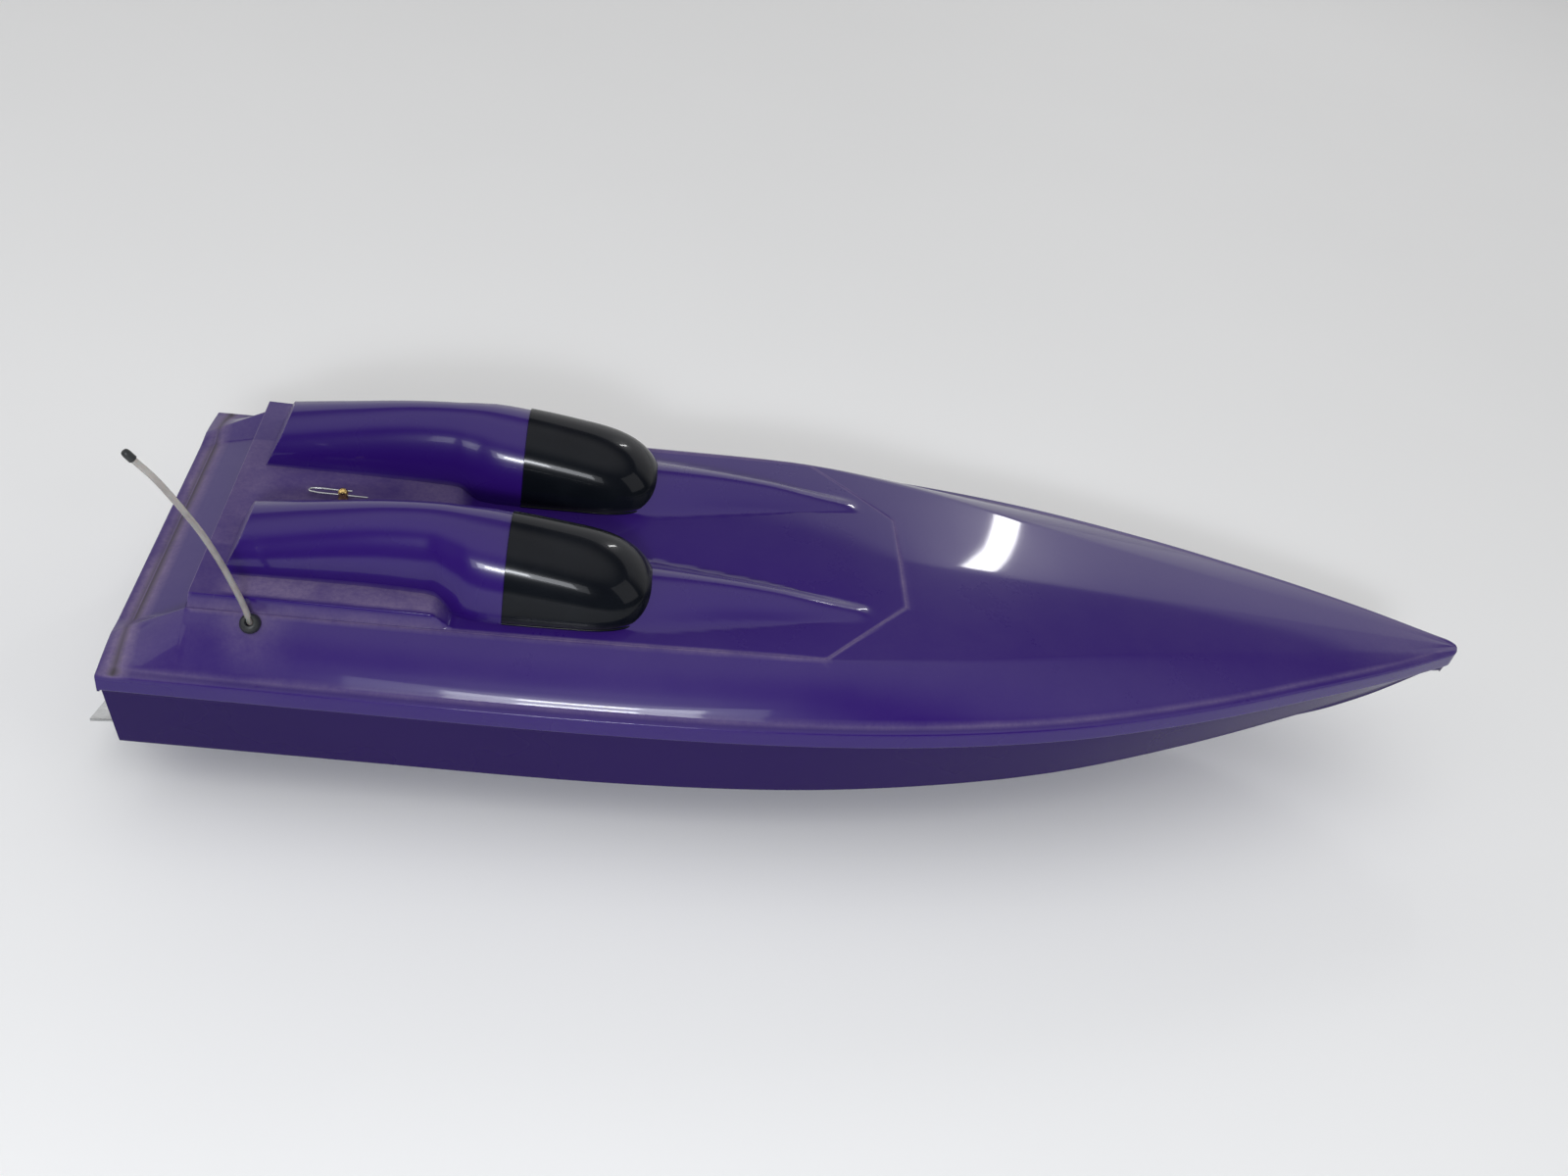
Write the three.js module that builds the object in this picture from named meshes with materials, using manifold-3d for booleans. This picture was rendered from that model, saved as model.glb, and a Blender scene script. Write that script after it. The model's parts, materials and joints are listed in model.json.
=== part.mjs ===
// A radio-controlled offshore racing boat with a deep-V hull, a lift-off hatch with two cockpit
// pods, and an electric drive line. Millimetres, +X to the bow, +Y to port, +Z up.
// The boat is laid out from its transom and then moved so that the origin is on the keel pad.
import * as THREE from "three";
import { mergeVertices } from "three/addons/utils/BufferGeometryUtils.js";
import Module from "manifold-3d";

const wasm = await Module();
wasm.setup();

// ---------------------------------------------------------------- driving dimensions
const LENGTH = 762; // transom to bow tip, along the deck
const ORIGIN_X = 230; // distance of the part's origin from the transom, along the keel pad
const SHEER = 84; // height of the deck lip above the keel pad, at the transom
const LIP_HEIGHT = 11; // the deck moulding's vertical lip
const BOW_RADIUS = 8; // the bow tip in plan
const FLANGE = 5; // level strip between the lip and the deck side
const SKIN = 2.4; // hull wall
const DECK_SKIN = 3; // deck wall
const HATCH_SKIN = 2; // hatch wall
const GAP = 0.3; // clearance between pieces that touch
const PAD_HALF = 9; // half width of the flat keel pad
const RAKE_X = 6.5; // how far the transom's foot is ahead of its top
const TRANSOM = 3; // transom thickness

const HATCH_AFT = 38;
const HATCH_SHOULDER = 358; // where the hatch's sides turn in
const HATCH_FRONT = 406;
const HATCH_HALF = 86;
const HATCH_NOSE_HALF = 38.5;
const PLINTH_TOP = 33; // the hatch's raised aft half, above the deck lip
const PLINTH_END = 161;
const POD_Y = 46; // middle of a cockpit pod
const POD_AFT = 51; // foot of the pods' raked aft faces
const POD_RAKE = 2.2; // their rise over run
const SCREEN_AFT = 190; // where the windshields begin
const SCREEN_TIP = 268;

const PROP_X = 14; // middle of the propeller, inside the stern pocket
const PROP_Z = 17;
const PROP_RADIUS = 15.6;
const SHAFT_RISE = 0.085; // slope of the drive line towards the motor
const SHAFT_RADIUS = 2.4;
const POCKET = { length: 44, half: 24, top: 42, wall: 2.4 };
const RUDDER_Y = -40;
const RUDDER_AFT = 9; // rudder pivot, behind the transom
const TILLER_ARM = 12;
const SERVO_X = 88; // steering servo's output shaft

// ---------------------------------------------------------------- materials
function finish(color, roughness, metalness = 0) {
  return new THREE.MeshStandardMaterial({ color, roughness, metalness });
}
const PURPLE = finish(0x35207a, 0.15);
const BLACK_GLOSS = finish(0x0a0b0d, 0.1);
const BLACK_PLASTIC = finish(0x1b1c1e, 0.5);
const BLACK_RUBBER = finish(0x15181b, 0.7);
const CLEAR_NYLON = finish(0xb9b2a6, 0.3);
const BRASS = finish(0xa8843c, 0.3, 1);
const STEEL = finish(0xb4b6b8, 0.25, 1);
const ALUMINIUM = finish(0xc4c7ca, 0.35, 1);
const BLUE_ALUMINIUM = finish(0x2a4c9b, 0.3, 1);
const PLYWOOD = finish(0xb58c58, 0.7);
const GREY_PLASTIC = finish(0x5b5e63, 0.55);
const BATTERY_WRAP = finish(0x1f5fae, 0.4);
const STRAP = finish(0x202124, 0.9);
const SILICONE = finish(0xcfd3d6, 0.5);
const RED_WIRE = finish(0xb01d1d, 0.5);
const FOAM = finish(0xe6e2d6, 0.9);

// ---------------------------------------------------------------- solids and meshes
function solid(geometry) {
  const bare = geometry.clone();
  bare.deleteAttribute("normal");
  bare.deleteAttribute("uv");
  const merged = mergeVertices(bare, 1e-4);
  return new wasm.Manifold(
    new wasm.Mesh({
      numProp: 3,
      vertProperties: new Float32Array(merged.attributes.position.array),
      triVerts: new Uint32Array(merged.index.array),
    }),
  );
}

function geometryOf(manifold) {
  const mesh = manifold.getMesh();
  const geometry = new THREE.BufferGeometry();
  geometry.setAttribute("position", new THREE.BufferAttribute(mesh.vertProperties, 3));
  geometry.setIndex(new THREE.BufferAttribute(mesh.triVerts, 1));
  geometry.computeVertexNormals();
  return geometry;
}

const boat = new THREE.Group();
boat.position.x = -ORIGIN_X;

// Adds one named piece to a group; a shape is a geometry or a joined solid.
function piece(name, shape, material, group = boat) {
  const geometry = shape.isBufferGeometry ? shape : geometryOf(shape);
  const mesh = new THREE.Mesh(geometry, material);
  mesh.name = name;
  group.add(mesh);
  return mesh;
}

function join(...solids) {
  return solids.reduce((whole, next) => whole.add(next));
}

function box(x, y, z) {
  const geometry = new THREE.BoxGeometry(x[1] - x[0], y[1] - y[0], z[1] - z[0]);
  geometry.translate((x[0] + x[1]) / 2, (y[0] + y[1]) / 2, (z[0] + z[1]) / 2);
  return solid(geometry);
}

// A round bar along X, Y or Z; at is its place on the other two axes, in X, Y, Z order.
function bar(axis, from, to, at, radius, sides = 20, endRadius = radius) {
  const geometry = new THREE.CylinderGeometry(endRadius, radius, to - from, sides);
  geometry.translate(0, (from + to) / 2, 0);
  if (axis === "x") {
    geometry.rotateZ(-Math.PI / 2);
    geometry.translate(0, at[0], at[1]);
  } else if (axis === "z") {
    geometry.rotateX(Math.PI / 2);
    geometry.translate(at[0], at[1], 0);
  } else {
    geometry.translate(at[0], 0, at[1]);
  }
  return solid(geometry);
}

function tube(axis, from, to, at, outer, inner, sides = 20) {
  return bar(axis, from, to, at, outer, sides).subtract(
    bar(axis, from - 1, to + 1, at, inner, sides),
  );
}

// A plate whose outline is drawn in plan and raised from z[0] to z[1].
function plan(points, z) {
  const shape = new THREE.Shape(points.map(([x, y]) => new THREE.Vector2(x, y)));
  const geometry = new THREE.ExtrudeGeometry(shape, { depth: z[1] - z[0], bevelEnabled: false });
  geometry.translate(0, 0, z[0]);
  return solid(geometry);
}

// A round rod, wire or hose along a smooth curve.
function cord(points, radius, sides = 8, stepsPerPoint = 5) {
  const curve = new THREE.CatmullRomCurve3(points.map((p) => new THREE.Vector3(...p)));
  const section = new THREE.Shape();
  section.absarc(0, 0, radius, 0, 2 * Math.PI);
  return new THREE.ExtrudeGeometry(section, {
    steps: points.length * stepsPerPoint,
    curveSegments: sides / 2,
    bevelEnabled: false,
    extrudePath: curve,
  });
}

// A solid between two sheets of points: rows run along X and each row runs across, towards +Y.
function slab(top, bottom) {
  const across = top[0].length;
  const count = top.length * across;
  const positions = [...top, ...bottom].flat(2);
  const index = [];
  const quad = (a, b, c, d) => index.push(a, b, c, a, c, d);
  const at = (i, j, low) => i * across + j + (low ? count : 0);
  const last = top.length - 1;
  for (let i = 0; i < last; i++) {
    for (let j = 0; j < across - 1; j++) {
      quad(at(i, j), at(i + 1, j), at(i + 1, j + 1), at(i, j + 1));
      quad(at(i, j, 1), at(i, j + 1, 1), at(i + 1, j + 1, 1), at(i + 1, j, 1));
    }
    quad(at(i, 0, 1), at(i + 1, 0, 1), at(i + 1, 0), at(i, 0));
    quad(at(i, across - 1), at(i + 1, across - 1), at(i + 1, across - 1, 1), at(i, across - 1, 1));
  }
  for (let j = 0; j < across - 1; j++) {
    quad(at(0, j), at(0, j + 1), at(0, j + 1, 1), at(0, j, 1));
    quad(at(last, j, 1), at(last, j + 1, 1), at(last, j + 1), at(last, j));
  }
  const geometry = new THREE.BufferGeometry();
  geometry.setAttribute("position", new THREE.Float32BufferAttribute(positions, 3));
  geometry.setIndex(index);
  return solid(geometry);
}

// A solid through closed rings of points, one ring after another along X. Each ring runs
// anticlockwise when it is seen from ahead, looking aft.
function loft(rings) {
  const size = rings[0].length;
  const positions = rings.flat(2);
  const index = [];
  for (let i = 0; i < rings.length - 1; i++) {
    for (let j = 0; j < size; j++) {
      const next = (j + 1) % size;
      const [a, b] = [i * size + j, i * size + next];
      index.push(a, b, b + size, a, b + size, a + size);
    }
  }
  for (const [ring, start, facesAft] of [
    [rings[0], 0, true],
    [rings.at(-1), (rings.length - 1) * size, false],
  ]) {
    const middle = positions.length / 3;
    positions.push(...[0, 1, 2].map((k) => ring.reduce((sum, p) => sum + p[k], 0) / size));
    for (let j = 0; j < size; j++) {
      const [a, b] = [start + j, start + ((j + 1) % size)];
      index.push(middle, ...(facesAft ? [b, a] : [a, b]));
    }
  }
  const geometry = new THREE.BufferGeometry();
  geometry.setAttribute("position", new THREE.Float32BufferAttribute(positions, 3));
  geometry.setIndex(index);
  return solid(geometry);
}

// ---------------------------------------------------------------- the lines of the boat
// Each curve is a few [x, value] points, joined smoothly.
function fair(points) {
  const slopes = points.map((p, i) => {
    const before = points[Math.max(i - 1, 0)];
    const after = points[Math.min(i + 1, points.length - 1)];
    return (after[1] - before[1]) / (after[0] - before[0]);
  });
  return (x) => {
    const last = points.length - 1;
    if (x <= points[0][0]) return points[0][1];
    if (x >= points[last][0]) return points[last][1];
    const i = points.findIndex((p, k) => k < last && x <= points[k + 1][0]);
    const [[x0, v0], [x1, v1]] = [points[i], points[i + 1]];
    const span = x1 - x0;
    const t = (x - x0) / span;
    return (
      v0 * (1 + 2 * t) * (1 - t) ** 2 +
      v1 * t * t * (3 - 2 * t) +
      span * t * (1 - t) * ((1 - t) * slopes[i] - t * slopes[i + 1])
    );
  };
}

const BOW_TANGENT = 757.4; // where the bow's straight side meets its round tip
const sideBeam = fair([
  [0, 114.4], [120, 117.3], [240, 119.4], [340, 117.7], [420, 111.5],
  [500, 98.3], [580, 76.5], [650, 52], [710, 28.8], [BOW_TANGENT, 7.25],
]);
function halfBeam(x) {
  if (x < BOW_TANGENT) return sideBeam(x);
  return Math.sqrt(Math.max(BOW_RADIUS ** 2 - (x - LENGTH + BOW_RADIUS) ** 2, 0));
}
const lipTop = fair([
  [0, SHEER], [200, SHEER + 2.8], [320, SHEER + 4.8], [440, SHEER + 7.4],
  [560, SHEER + 9.8], [660, SHEER + 11], [LENGTH, SHEER + 9.8],
]);
const deckCentre = fair([
  [0, SHEER + 24], [260, SHEER + 29], [350, SHEER + 31.8], [410, SHEER + 31], [460, SHEER + 28.4],
  [520, SHEER + 25.2], [580, SHEER + 21.8], [640, SHEER + 17.8], [705, SHEER + 13.4], [LENGTH, SHEER + 10.2],
]);
const shoulderHalf = fair([
  [0, 87], [340, 87], [420, 78], [520, 54], [620, 32], [710, 13], [LENGTH, 0],
]);
const shoulderTop = fair([
  [0, SHEER + 24.3], [160, SHEER + 25.3], [260, SHEER + 27.2], [350, SHEER + 29.6], [420, SHEER + 27.6],
  [520, SHEER + 22.4], [620, SHEER + 17], [710, SHEER + 12.4], [LENGTH, SHEER + 10],
]);
const chineHalf = fair([
  [0, 110], [120, 112], [240, 113.8], [340, 111.5], [420, 104],
  [500, 90], [580, 67], [650, 43], [710, 21.5], [752, 5.5],
]);
const chineTop = fair([
  [0, 34], [240, 35.5], [340, 38], [420, 42], [500, 47.5], [580, 54.5], [650, 62], [710, 71], [752, 81],
]);
const keelSweep = fair([[380, 0], [440, 0.8], [500, 4], [580, 13], [650, 27], [710, 48], [752, 74]]);
const keel = (x) => Math.max(keelSweep(x), 0);

const RAMP_FOOT = 3.5; // side deck's height over the lip, at the transom
const TRAY_FOOT = 3.5; // aft tray's height over the lip, behind the rim
const TRAY_TOP = 13;
const RIM = 7.5;

// Height of the deck over the base line at the foot of the hatch side, ramped up from the transom.
function shoulderHeight(x) {
  if (x >= HATCH_AFT) return shoulderTop(x);
  return SHEER + RAMP_FOOT + ((shoulderTop(HATCH_AFT) - SHEER - RAMP_FOOT) * x) / HATCH_AFT;
}

// Half of the deck's outer section: [y, z] from the lip's foot, up and in to the centreline.
function deckHalf(x, side, down) {
  const beam = Math.max(halfBeam(x) - side, 0.8);
  const top = lipTop(x) - down;
  const flange = Math.max(beam - Math.min(FLANGE, beam / 3), 0.6);
  const foot = top + 0.6;
  const shoulder = Math.min(shoulderHalf(x) - side / 2, flange * 0.92);
  const height = shoulderHeight(x) - down;
  const rise = height - foot;
  const run = flange - shoulder;
  const points = [
    [beam, lipTop(x) - LIP_HEIGHT - (down > 0 ? 8 : 0)],
    [beam, top],
    [flange, foot],
    [flange - run * 0.25, foot + rise * 0.33],
    [flange - run * 0.6, foot + rise * 0.7],
    [shoulder, height],
  ];
  if (x < HATCH_AFT) {
    const up = Math.max(x - RIM, 0) / (HATCH_AFT - RIM);
    const depth = x < RIM ? TRAY_FOOT - 1 : TRAY_FOOT + (TRAY_TOP - TRAY_FOOT) * up;
    const floor = SHEER + Math.min(depth, height + down - SHEER) - down;
    points.push([shoulder * 0.88, floor], [shoulder * 0.5, floor], [0, floor]);
  } else {
    const crown = deckCentre(x) - down - height;
    points.push(...[0.88, 0.5, 0].map((t) => [shoulder * t, height + crown * (1 - t * t)]));
  }
  return points;
}

// Turns a half section into a whole ring at x: starboard foot up over the deck to the port foot.
function deckRing(x, side, down) {
  const half = deckHalf(x, side, down);
  const port = half.map(([y, z]) => [x, y, z]);
  const starboard = half.slice(0, -1).map(([y, z]) => [x, -y, z]);
  return [...port, ...starboard.reverse()];
}

const BODY_STATIONS = [
  0.3, RIM, HATCH_AFT - 0.5, HATCH_AFT, 80, 130, 180, 230, 280, 320, 358, 390, 420, 450, 480, 510, 540, 570,
  600, 625, 650, 675, 700, 720, 740,
];
const TIP_STATIONS = [752, BOW_TANGENT, 760, 761.4];
const INNER_END = 721; // ahead of this the bow is solid

function deckSolid(side, down, end) {
  const stations = [...BODY_STATIONS, ...TIP_STATIONS].filter((x) => x < end);
  if (down > 0) stations[0] = TRANSOM;
  return loft(stations.map((x) => deckRing(x, side, down)));
}

const HULL_INSET = 2.6; // hull side, inside the deck's lip
const HULL_DROP = 3.4; // hull top edge, under the lip's top

// Half of the hull's outer section: [y, z] from its top edge, down and in to the keel.
function hullHalf(x) {
  const beam = Math.max(halfBeam(x) - HULL_INSET, 1.2);
  const chine = Math.min(Math.max(chineHalf(x), 0.9), beam);
  const [edge, low] = [chineTop(x), keel(x)];
  const pad = Math.min(PAD_HALF, chine * 0.3);
  const slope = (edge - low) / (chine - pad);
  const strake = pad + (chine - pad) * 0.45;
  const lift = Math.min(4, chine * 0.08);
  const top = lipTop(x);
  return [
    [beam, top - HULL_DROP],
    [beam, top - LIP_HEIGHT - 1],
    [chine, edge + 1],
    [chine - 0.2, edge - 0.8],
    [chine - lift - 1, edge - 0.6 - slope],
    [strake + lift, low + (strake + lift - pad) * slope],
    [strake + lift, low + (strake - pad) * slope - 0.2],
    [strake, low + (strake - pad) * slope - 0.3],
    [pad, low],
    [0, low],
  ];
}

// Half of the space inside the hull; extra moves it in from the wall.
function cavityHalf(x, extra) {
  const wall = SKIN + extra;
  const beam = halfBeam(x) - HULL_INSET - wall;
  const chine = Math.min(chineHalf(x) - wall, beam);
  const pad = Math.min(PAD_HALF, chine * 0.3);
  return [
    [beam, lipTop(x) + 40],
    [beam, lipTop(x) - LIP_HEIGHT],
    [chine, chineTop(x) + 2 + extra],
    [pad, keel(x) + wall],
    [0, keel(x) + wall],
  ];
}

function ring(half, x, rake = 0) {
  const ahead = (z) => (rake * Math.max(SHEER - z, 0)) / SHEER;
  const port = half.map(([y, z]) => [x + ahead(z), y, z]);
  const starboard = half.slice(0, -1).map(([y, z]) => [x + ahead(z), -y, z]);
  return [...starboard, ...port.reverse()];
}

function hullSolid() {
  const stations = [...BODY_STATIONS, ...TIP_STATIONS].filter((x) => x > HATCH_AFT || x < RIM);
  return loft(stations.map((x, i) => ring(hullHalf(x), x, i === 0 ? RAKE_X : 0)));
}

function cavity(extra) {
  const stations = BODY_STATIONS.filter((x) => x > HATCH_AFT && x < INNER_END);
  const rings = stations.map((x) => ring(cavityHalf(x, extra), x));
  const aft = TRANSOM + 0.3 + extra;
  return loft([ring(cavityHalf(aft, extra), aft, RAKE_X), ...rings]);
}

const insideHull = cavity(GAP);
const fitInHull = (shape) => shape.intersect(insideHull);

// ---------------------------------------------------------------- the hatch's surface
const podMiddle = fair([[POD_AFT, 46], [150, 46], [172, 48], [SCREEN_TIP, 48]]);
const podHalf = fair([[POD_AFT, 22.5], [150, 23], [172, 29.5], [SCREEN_AFT, 30.7], [225, 30.7]]);
const podTop = fair([
  [POD_AFT, 55], [89, 62], [126, 68], [158, 70],
  [SCREEN_AFT, 67.4], [223, 62.5], [245, 58], [SCREEN_TIP, 53],
]);
const fairingHalf = fair([[240, 28], [264, 27], [304, 20], [340, 14], [372, 8], [390, 6]]);
const fairingTop = fair([[240, 40.5], [264, 41.5], [304, 41], [336, 38.5], [365, 34], [390, 30.6]]);
const NOSE_START = 225; // where the windshields begin to draw in

function smoothStep(from, to, x) {
  const t = Math.min(Math.max((x - from) / (to - from), 0), 1);
  return t * t * (3 - 2 * t);
}

function hatchHalf(x) {
  if (x <= HATCH_SHOULDER) return HATCH_HALF;
  const t = (x - HATCH_SHOULDER) / (HATCH_FRONT - HATCH_SHOULDER);
  return HATCH_HALF + (HATCH_NOSE_HALF - HATCH_HALF) * t;
}

// The deck carried across the hatch, with the raised plinth aft.
function hatchBase(x, y) {
  const t = Math.min(Math.abs(y) / shoulderHalf(x), 1);
  const deck = shoulderTop(x) + (deckCentre(x) - shoulderTop(x)) * (1 - t * t);
  const aft = smoothStep(HATCH_AFT, HATCH_AFT + 1.5, x);
  const along = aft * (1 - smoothStep(PLINTH_END - 6, PLINTH_END + 6, x));
  const across = smoothStep(HATCH_HALF, HATCH_HALF - 2, Math.abs(y));
  return deck + (SHEER + PLINTH_TOP - deck) * along * across;
}

function dome(s, power) {
  return Math.abs(s) >= 1 ? 0 : (1 - Math.abs(s) ** power) ** (1 / power);
}

// How far the pod's nose has drawn in at x, from 1 to 0, on a nose that ends at tip.
function noseShare(x, tip) {
  const u = Math.min(Math.max((x - NOSE_START) / (tip - NOSE_START), 0), 1);
  return (1 - u ** 3) ** 0.45;
}

// A pod's height over the hatch base; inset is the depth of a rebate below its skin.
function podHeight(x, y, inset) {
  const tip = SCREEN_TIP - inset;
  if (x < POD_AFT || x >= tip) return 0;
  const share = noseShare(x, tip);
  const half = podHalf(x) * share - inset;
  if (half <= 0) return 0;
  const top = SHEER + podTop(x) - hatchBase(x, podMiddle(x)) - inset;
  const skin = top * share * dome((Math.abs(y) - podMiddle(x)) / half, 2.2);
  return Math.min(skin, (x - POD_AFT) * POD_RAKE);
}

function fairingHeight(x, y) {
  if (x < 240 || x > 390) return 0;
  const s = (Math.abs(y) - podMiddle(x)) / fairingHalf(x);
  const top = SHEER + fairingTop(x) - hatchBase(x, podMiddle(x));
  return Math.max(top, 0) * Math.max(1 - s * s, 0) ** 1.5;
}

const SCREEN_SKIN = 1.3; // windshield wall
const SCREEN_LIFT = 0.5; // a windshield's rim, over the hatch
const REBATE = SCREEN_SKIN + GAP; // depth of the hatch's seat under each windshield

function hatchTop(x, y) {
  const pod = podHeight(x, y, x > SCREEN_AFT - 0.1 ? REBATE + GAP : 0);
  return hatchBase(x, y) + Math.max(pod, fairingHeight(x, y));
}

const HATCH_ROWS = [
  HATCH_AFT, 39.5, POD_AFT, 56, 62, 74, 90, 115, 140, 155, 161, 167, 178, 189.8, SCREEN_AFT,
  207, 225, 240, 251, 260, 266, 272, 290, 312, 335, HATCH_SHOULDER, 382, HATCH_FRONT,
];
const HATCH_COLUMNS = [0, 11, 18.5, 24, 33, 46, 59, 67, 73, 79, 84, HATCH_HALF];

function mirrored(values) {
  return [...values.slice(1).reverse().map((v) => -v), ...values];
}

// Moves each point of a sheet in along the sheet's own normal.
function insetSheet(rows, depth) {
  const at = (i, j) => {
    const row = rows[Math.min(Math.max(i, 0), rows.length - 1)];
    return new THREE.Vector3(...row[Math.min(Math.max(j, 0), row.length - 1)]);
  };
  return rows.map((row, i) =>
    row.map((point, j) => {
      const along = at(i + 1, j).sub(at(i - 1, j));
      const across = at(i, j + 1).sub(at(i, j - 1));
      const normal = along.cross(across).normalize();
      return new THREE.Vector3(...point).addScaledVector(normal, -depth).toArray();
    }),
  );
}

function hatchOutline(grow) {
  const [aft, side] = [HATCH_AFT - grow, HATCH_HALF + grow];
  const [front, nose] = [HATCH_FRONT + grow, HATCH_NOSE_HALF + grow * 0.7];
  const shoulder = HATCH_SHOULDER + grow * 0.4;
  return [[aft, -side], [shoulder, -side], [front, -nose], [front, nose], [shoulder, side], [aft, side]];
}

// ---------------------------------------------------------------- mouldings
const LEDGE = 8; // width of the ledge that the hatch sits on
const GROMMET = { x: 69.7, y: -91.6 };
const TUBE_RADIUS = 1.6;

function buildHull() {
  const { length, half, top, wall } = POCKET;
  const inner = cavity(0).subtract(
    box([-20, length + wall], [-half - wall, half + wall], [-5, top + wall]),
  );
  const pocket = box([-20, length], [-half, half], [-5, top]);
  const lipFoot = SHEER - LIP_HEIGHT;
  const transomLip = box([-5, TRANSOM + GAP], [-150, 150], [lipFoot - GAP, SHEER + 20]);
  const bowFoot = lipTop(LENGTH) - LIP_HEIGHT - GAP;
  const bowLip = box([INNER_END - 2, LENGTH + 5], [-150, 150], [bowFoot, SHEER + 40]);
  return hullSolid().subtract(inner).subtract(pocket).subtract(transomLip).subtract(bowLip);
}

function buildDeck() {
  const skin = deckSolid(0, 0, LENGTH).subtract(deckSolid(2.2, DECK_SKIN, INNER_END));
  const rebate = plan(hatchOutline(GAP), [SHEER + TRAY_TOP + 1, SHEER + 60]);
  const layer = deckSolid(1, HATCH_SKIN + 2 * GAP, INNER_END).subtract(deckSolid(2.4, 6, INNER_END - 10));
  const around = plan(hatchOutline(4), [SHEER - 20, SHEER + 60]);
  const opening = plan(hatchOutline(-LEDGE), [SHEER - 30, SHEER + 60]);
  const ledge = layer.intersect(around);
  return skin.subtract(rebate).add(ledge).subtract(opening);
}

function buildHatch() {
  const columns = mirrored(HATCH_COLUMNS);
  const rows = HATCH_ROWS.map((x) =>
    columns.map((c) => {
      const y = (c * hatchHalf(x)) / HATCH_HALF;
      return [x, y, hatchTop(x, y)];
    }),
  );
  const shell = slab(rows, insetSheet(rows, HATCH_SKIN));
  const seat = (side) => slab(screenSheet(side, -2, 0, 0), screenSheet(side, REBATE, 0, 0));
  return shell.subtract(seat(1)).subtract(seat(-1));
}

// One skin of a windshield: inset from the pod's surface, lifted over the hatch, starting at from.
function screenSheet(side, inset, lift, from) {
  const steps = [0, 0.2, 0.4, 0.57, 0.71, 0.82, 0.9, 0.955, 0.985];
  const across = [-1, -0.96, -0.84, -0.6, -0.3, 0, 0.3, 0.6, 0.84, 0.96, 1];
  const [start, tip] = [SCREEN_AFT + from, SCREEN_TIP - inset];
  return steps.map((f) => {
    const x = start + f * (tip - start);
    const half = podHalf(x) * noseShare(x, tip) - inset;
    return across.map((s) => {
      const y = side * podMiddle(x) + s * half;
      return [x, y, hatchBase(x, y) + lift + podHeight(x, y, inset)];
    });
  });
}

function buildWindshield(side) {
  return slab(screenSheet(side, 0, SCREEN_LIFT, GAP), screenSheet(side, SCREEN_SKIN, SCREEN_LIFT, GAP));
}

// ---------------------------------------------------------------- drive line
// The propeller, its shaft and the motor turn on one straight line that rises towards the bow.
const driveLine = new THREE.Group();
driveLine.position.set(PROP_X, 0, PROP_Z);
driveLine.rotation.y = -Math.atan(SHAFT_RISE);
boat.add(driveLine);
driveLine.updateMatrix();
const onDriveLine = (shape) => solid(geometryOf(shape).applyMatrix4(driveLine.matrix));

const HUB = { from: -6, to: 6, radius: 4.6 };
const DOG_END = HUB.to + GAP + 3.5;
const STRUT = { from: DOG_END + GAP, to: 27, radius: 6 };
const TUBE = { from: 27.6, to: 138, outer: 4, inner: 3 };
const COUPLER = { from: 150, to: 174, radius: 6.5 };
const SHAFT_END = 160;
const PLATE = { from: 180, to: 183, half: 22 };
const EAR = 14; // length of the mount's ears along the rails
const MOTOR = { from: 183.3, to: 243, radius: 18 };
const JACKET = { from: 200, to: 226, inner: 18.3, outer: 21.4 };
const RAIL = { from: 148, to: 252, inner: 24, outer: 29, top: -9 };

function bladeSolid(angle) {
  const outline = new THREE.Shape();
  outline.moveTo(-2.2, 2.5);
  outline.bezierCurveTo(-7.5, 7, -6.5, PROP_RADIUS, 0.5, PROP_RADIUS);
  outline.bezierCurveTo(5.5, PROP_RADIUS - 0.5, 5, 8, 2.2, 2.5);
  const blade = { depth: 1.2, curveSegments: 6, bevelEnabled: false };
  const geometry = new THREE.ExtrudeGeometry(outline, blade);
  geometry.translate(0, 0, -blade.depth / 2);
  geometry.rotateY((50 * Math.PI) / 180);
  geometry.rotateX(angle);
  return solid(geometry);
}

function buildPropeller() {
  const hub = bar("x", HUB.from, HUB.to, [0, 0], HUB.radius, 20, HUB.radius - 0.8);
  const bore = bar("x", HUB.from - 1, HUB.to + 1, [0, 0], SHAFT_RADIUS + GAP, 20);
  return join(hub, bladeSolid(0), bladeSolid(Math.PI)).subtract(bore);
}

function buildStrut() {
  const barrel = bar("x", STRUT.from, STRUT.to, [0, 0], STRUT.radius, 20);
  const leg = box([STRUT.from + 3, STRUT.to - 2], [-2, 2], [3, 22]);
  const foot = box([STRUT.from + 1, STRUT.to], [-9, 9], [20.5, 26]);
  const bore = bar("x", STRUT.from - 1, STRUT.to + 1, [0, 0], SHAFT_RADIUS + GAP, 20);
  const ceiling = box([-20, POCKET.length + 5], [-30, 30], [POCKET.top - GAP, POCKET.top + 20]);
  return onDriveLine(join(barrel, leg, foot).subtract(bore)).subtract(ceiling);
}

function buildNut() {
  const cone = bar("x", -14, -11, [0, 0], 1.2, 20, 4);
  const body = bar("x", -11, HUB.from - GAP, [0, 0], 4);
  return join(cone, body).subtract(bar("x", -12, 0, [0, 0], SHAFT_RADIUS + GAP));
}

function buildCoupler() {
  const { from, to, radius } = COUPLER;
  const bore = (a, b) => bar("x", a, b, [0, 0], SHAFT_RADIUS + GAP);
  return bar("x", from, to, [0, 0], radius)
    .subtract(bore(from - 1, SHAFT_END + GAP))
    .subtract(bore(SHAFT_END + 3, to + 1));
}

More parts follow.
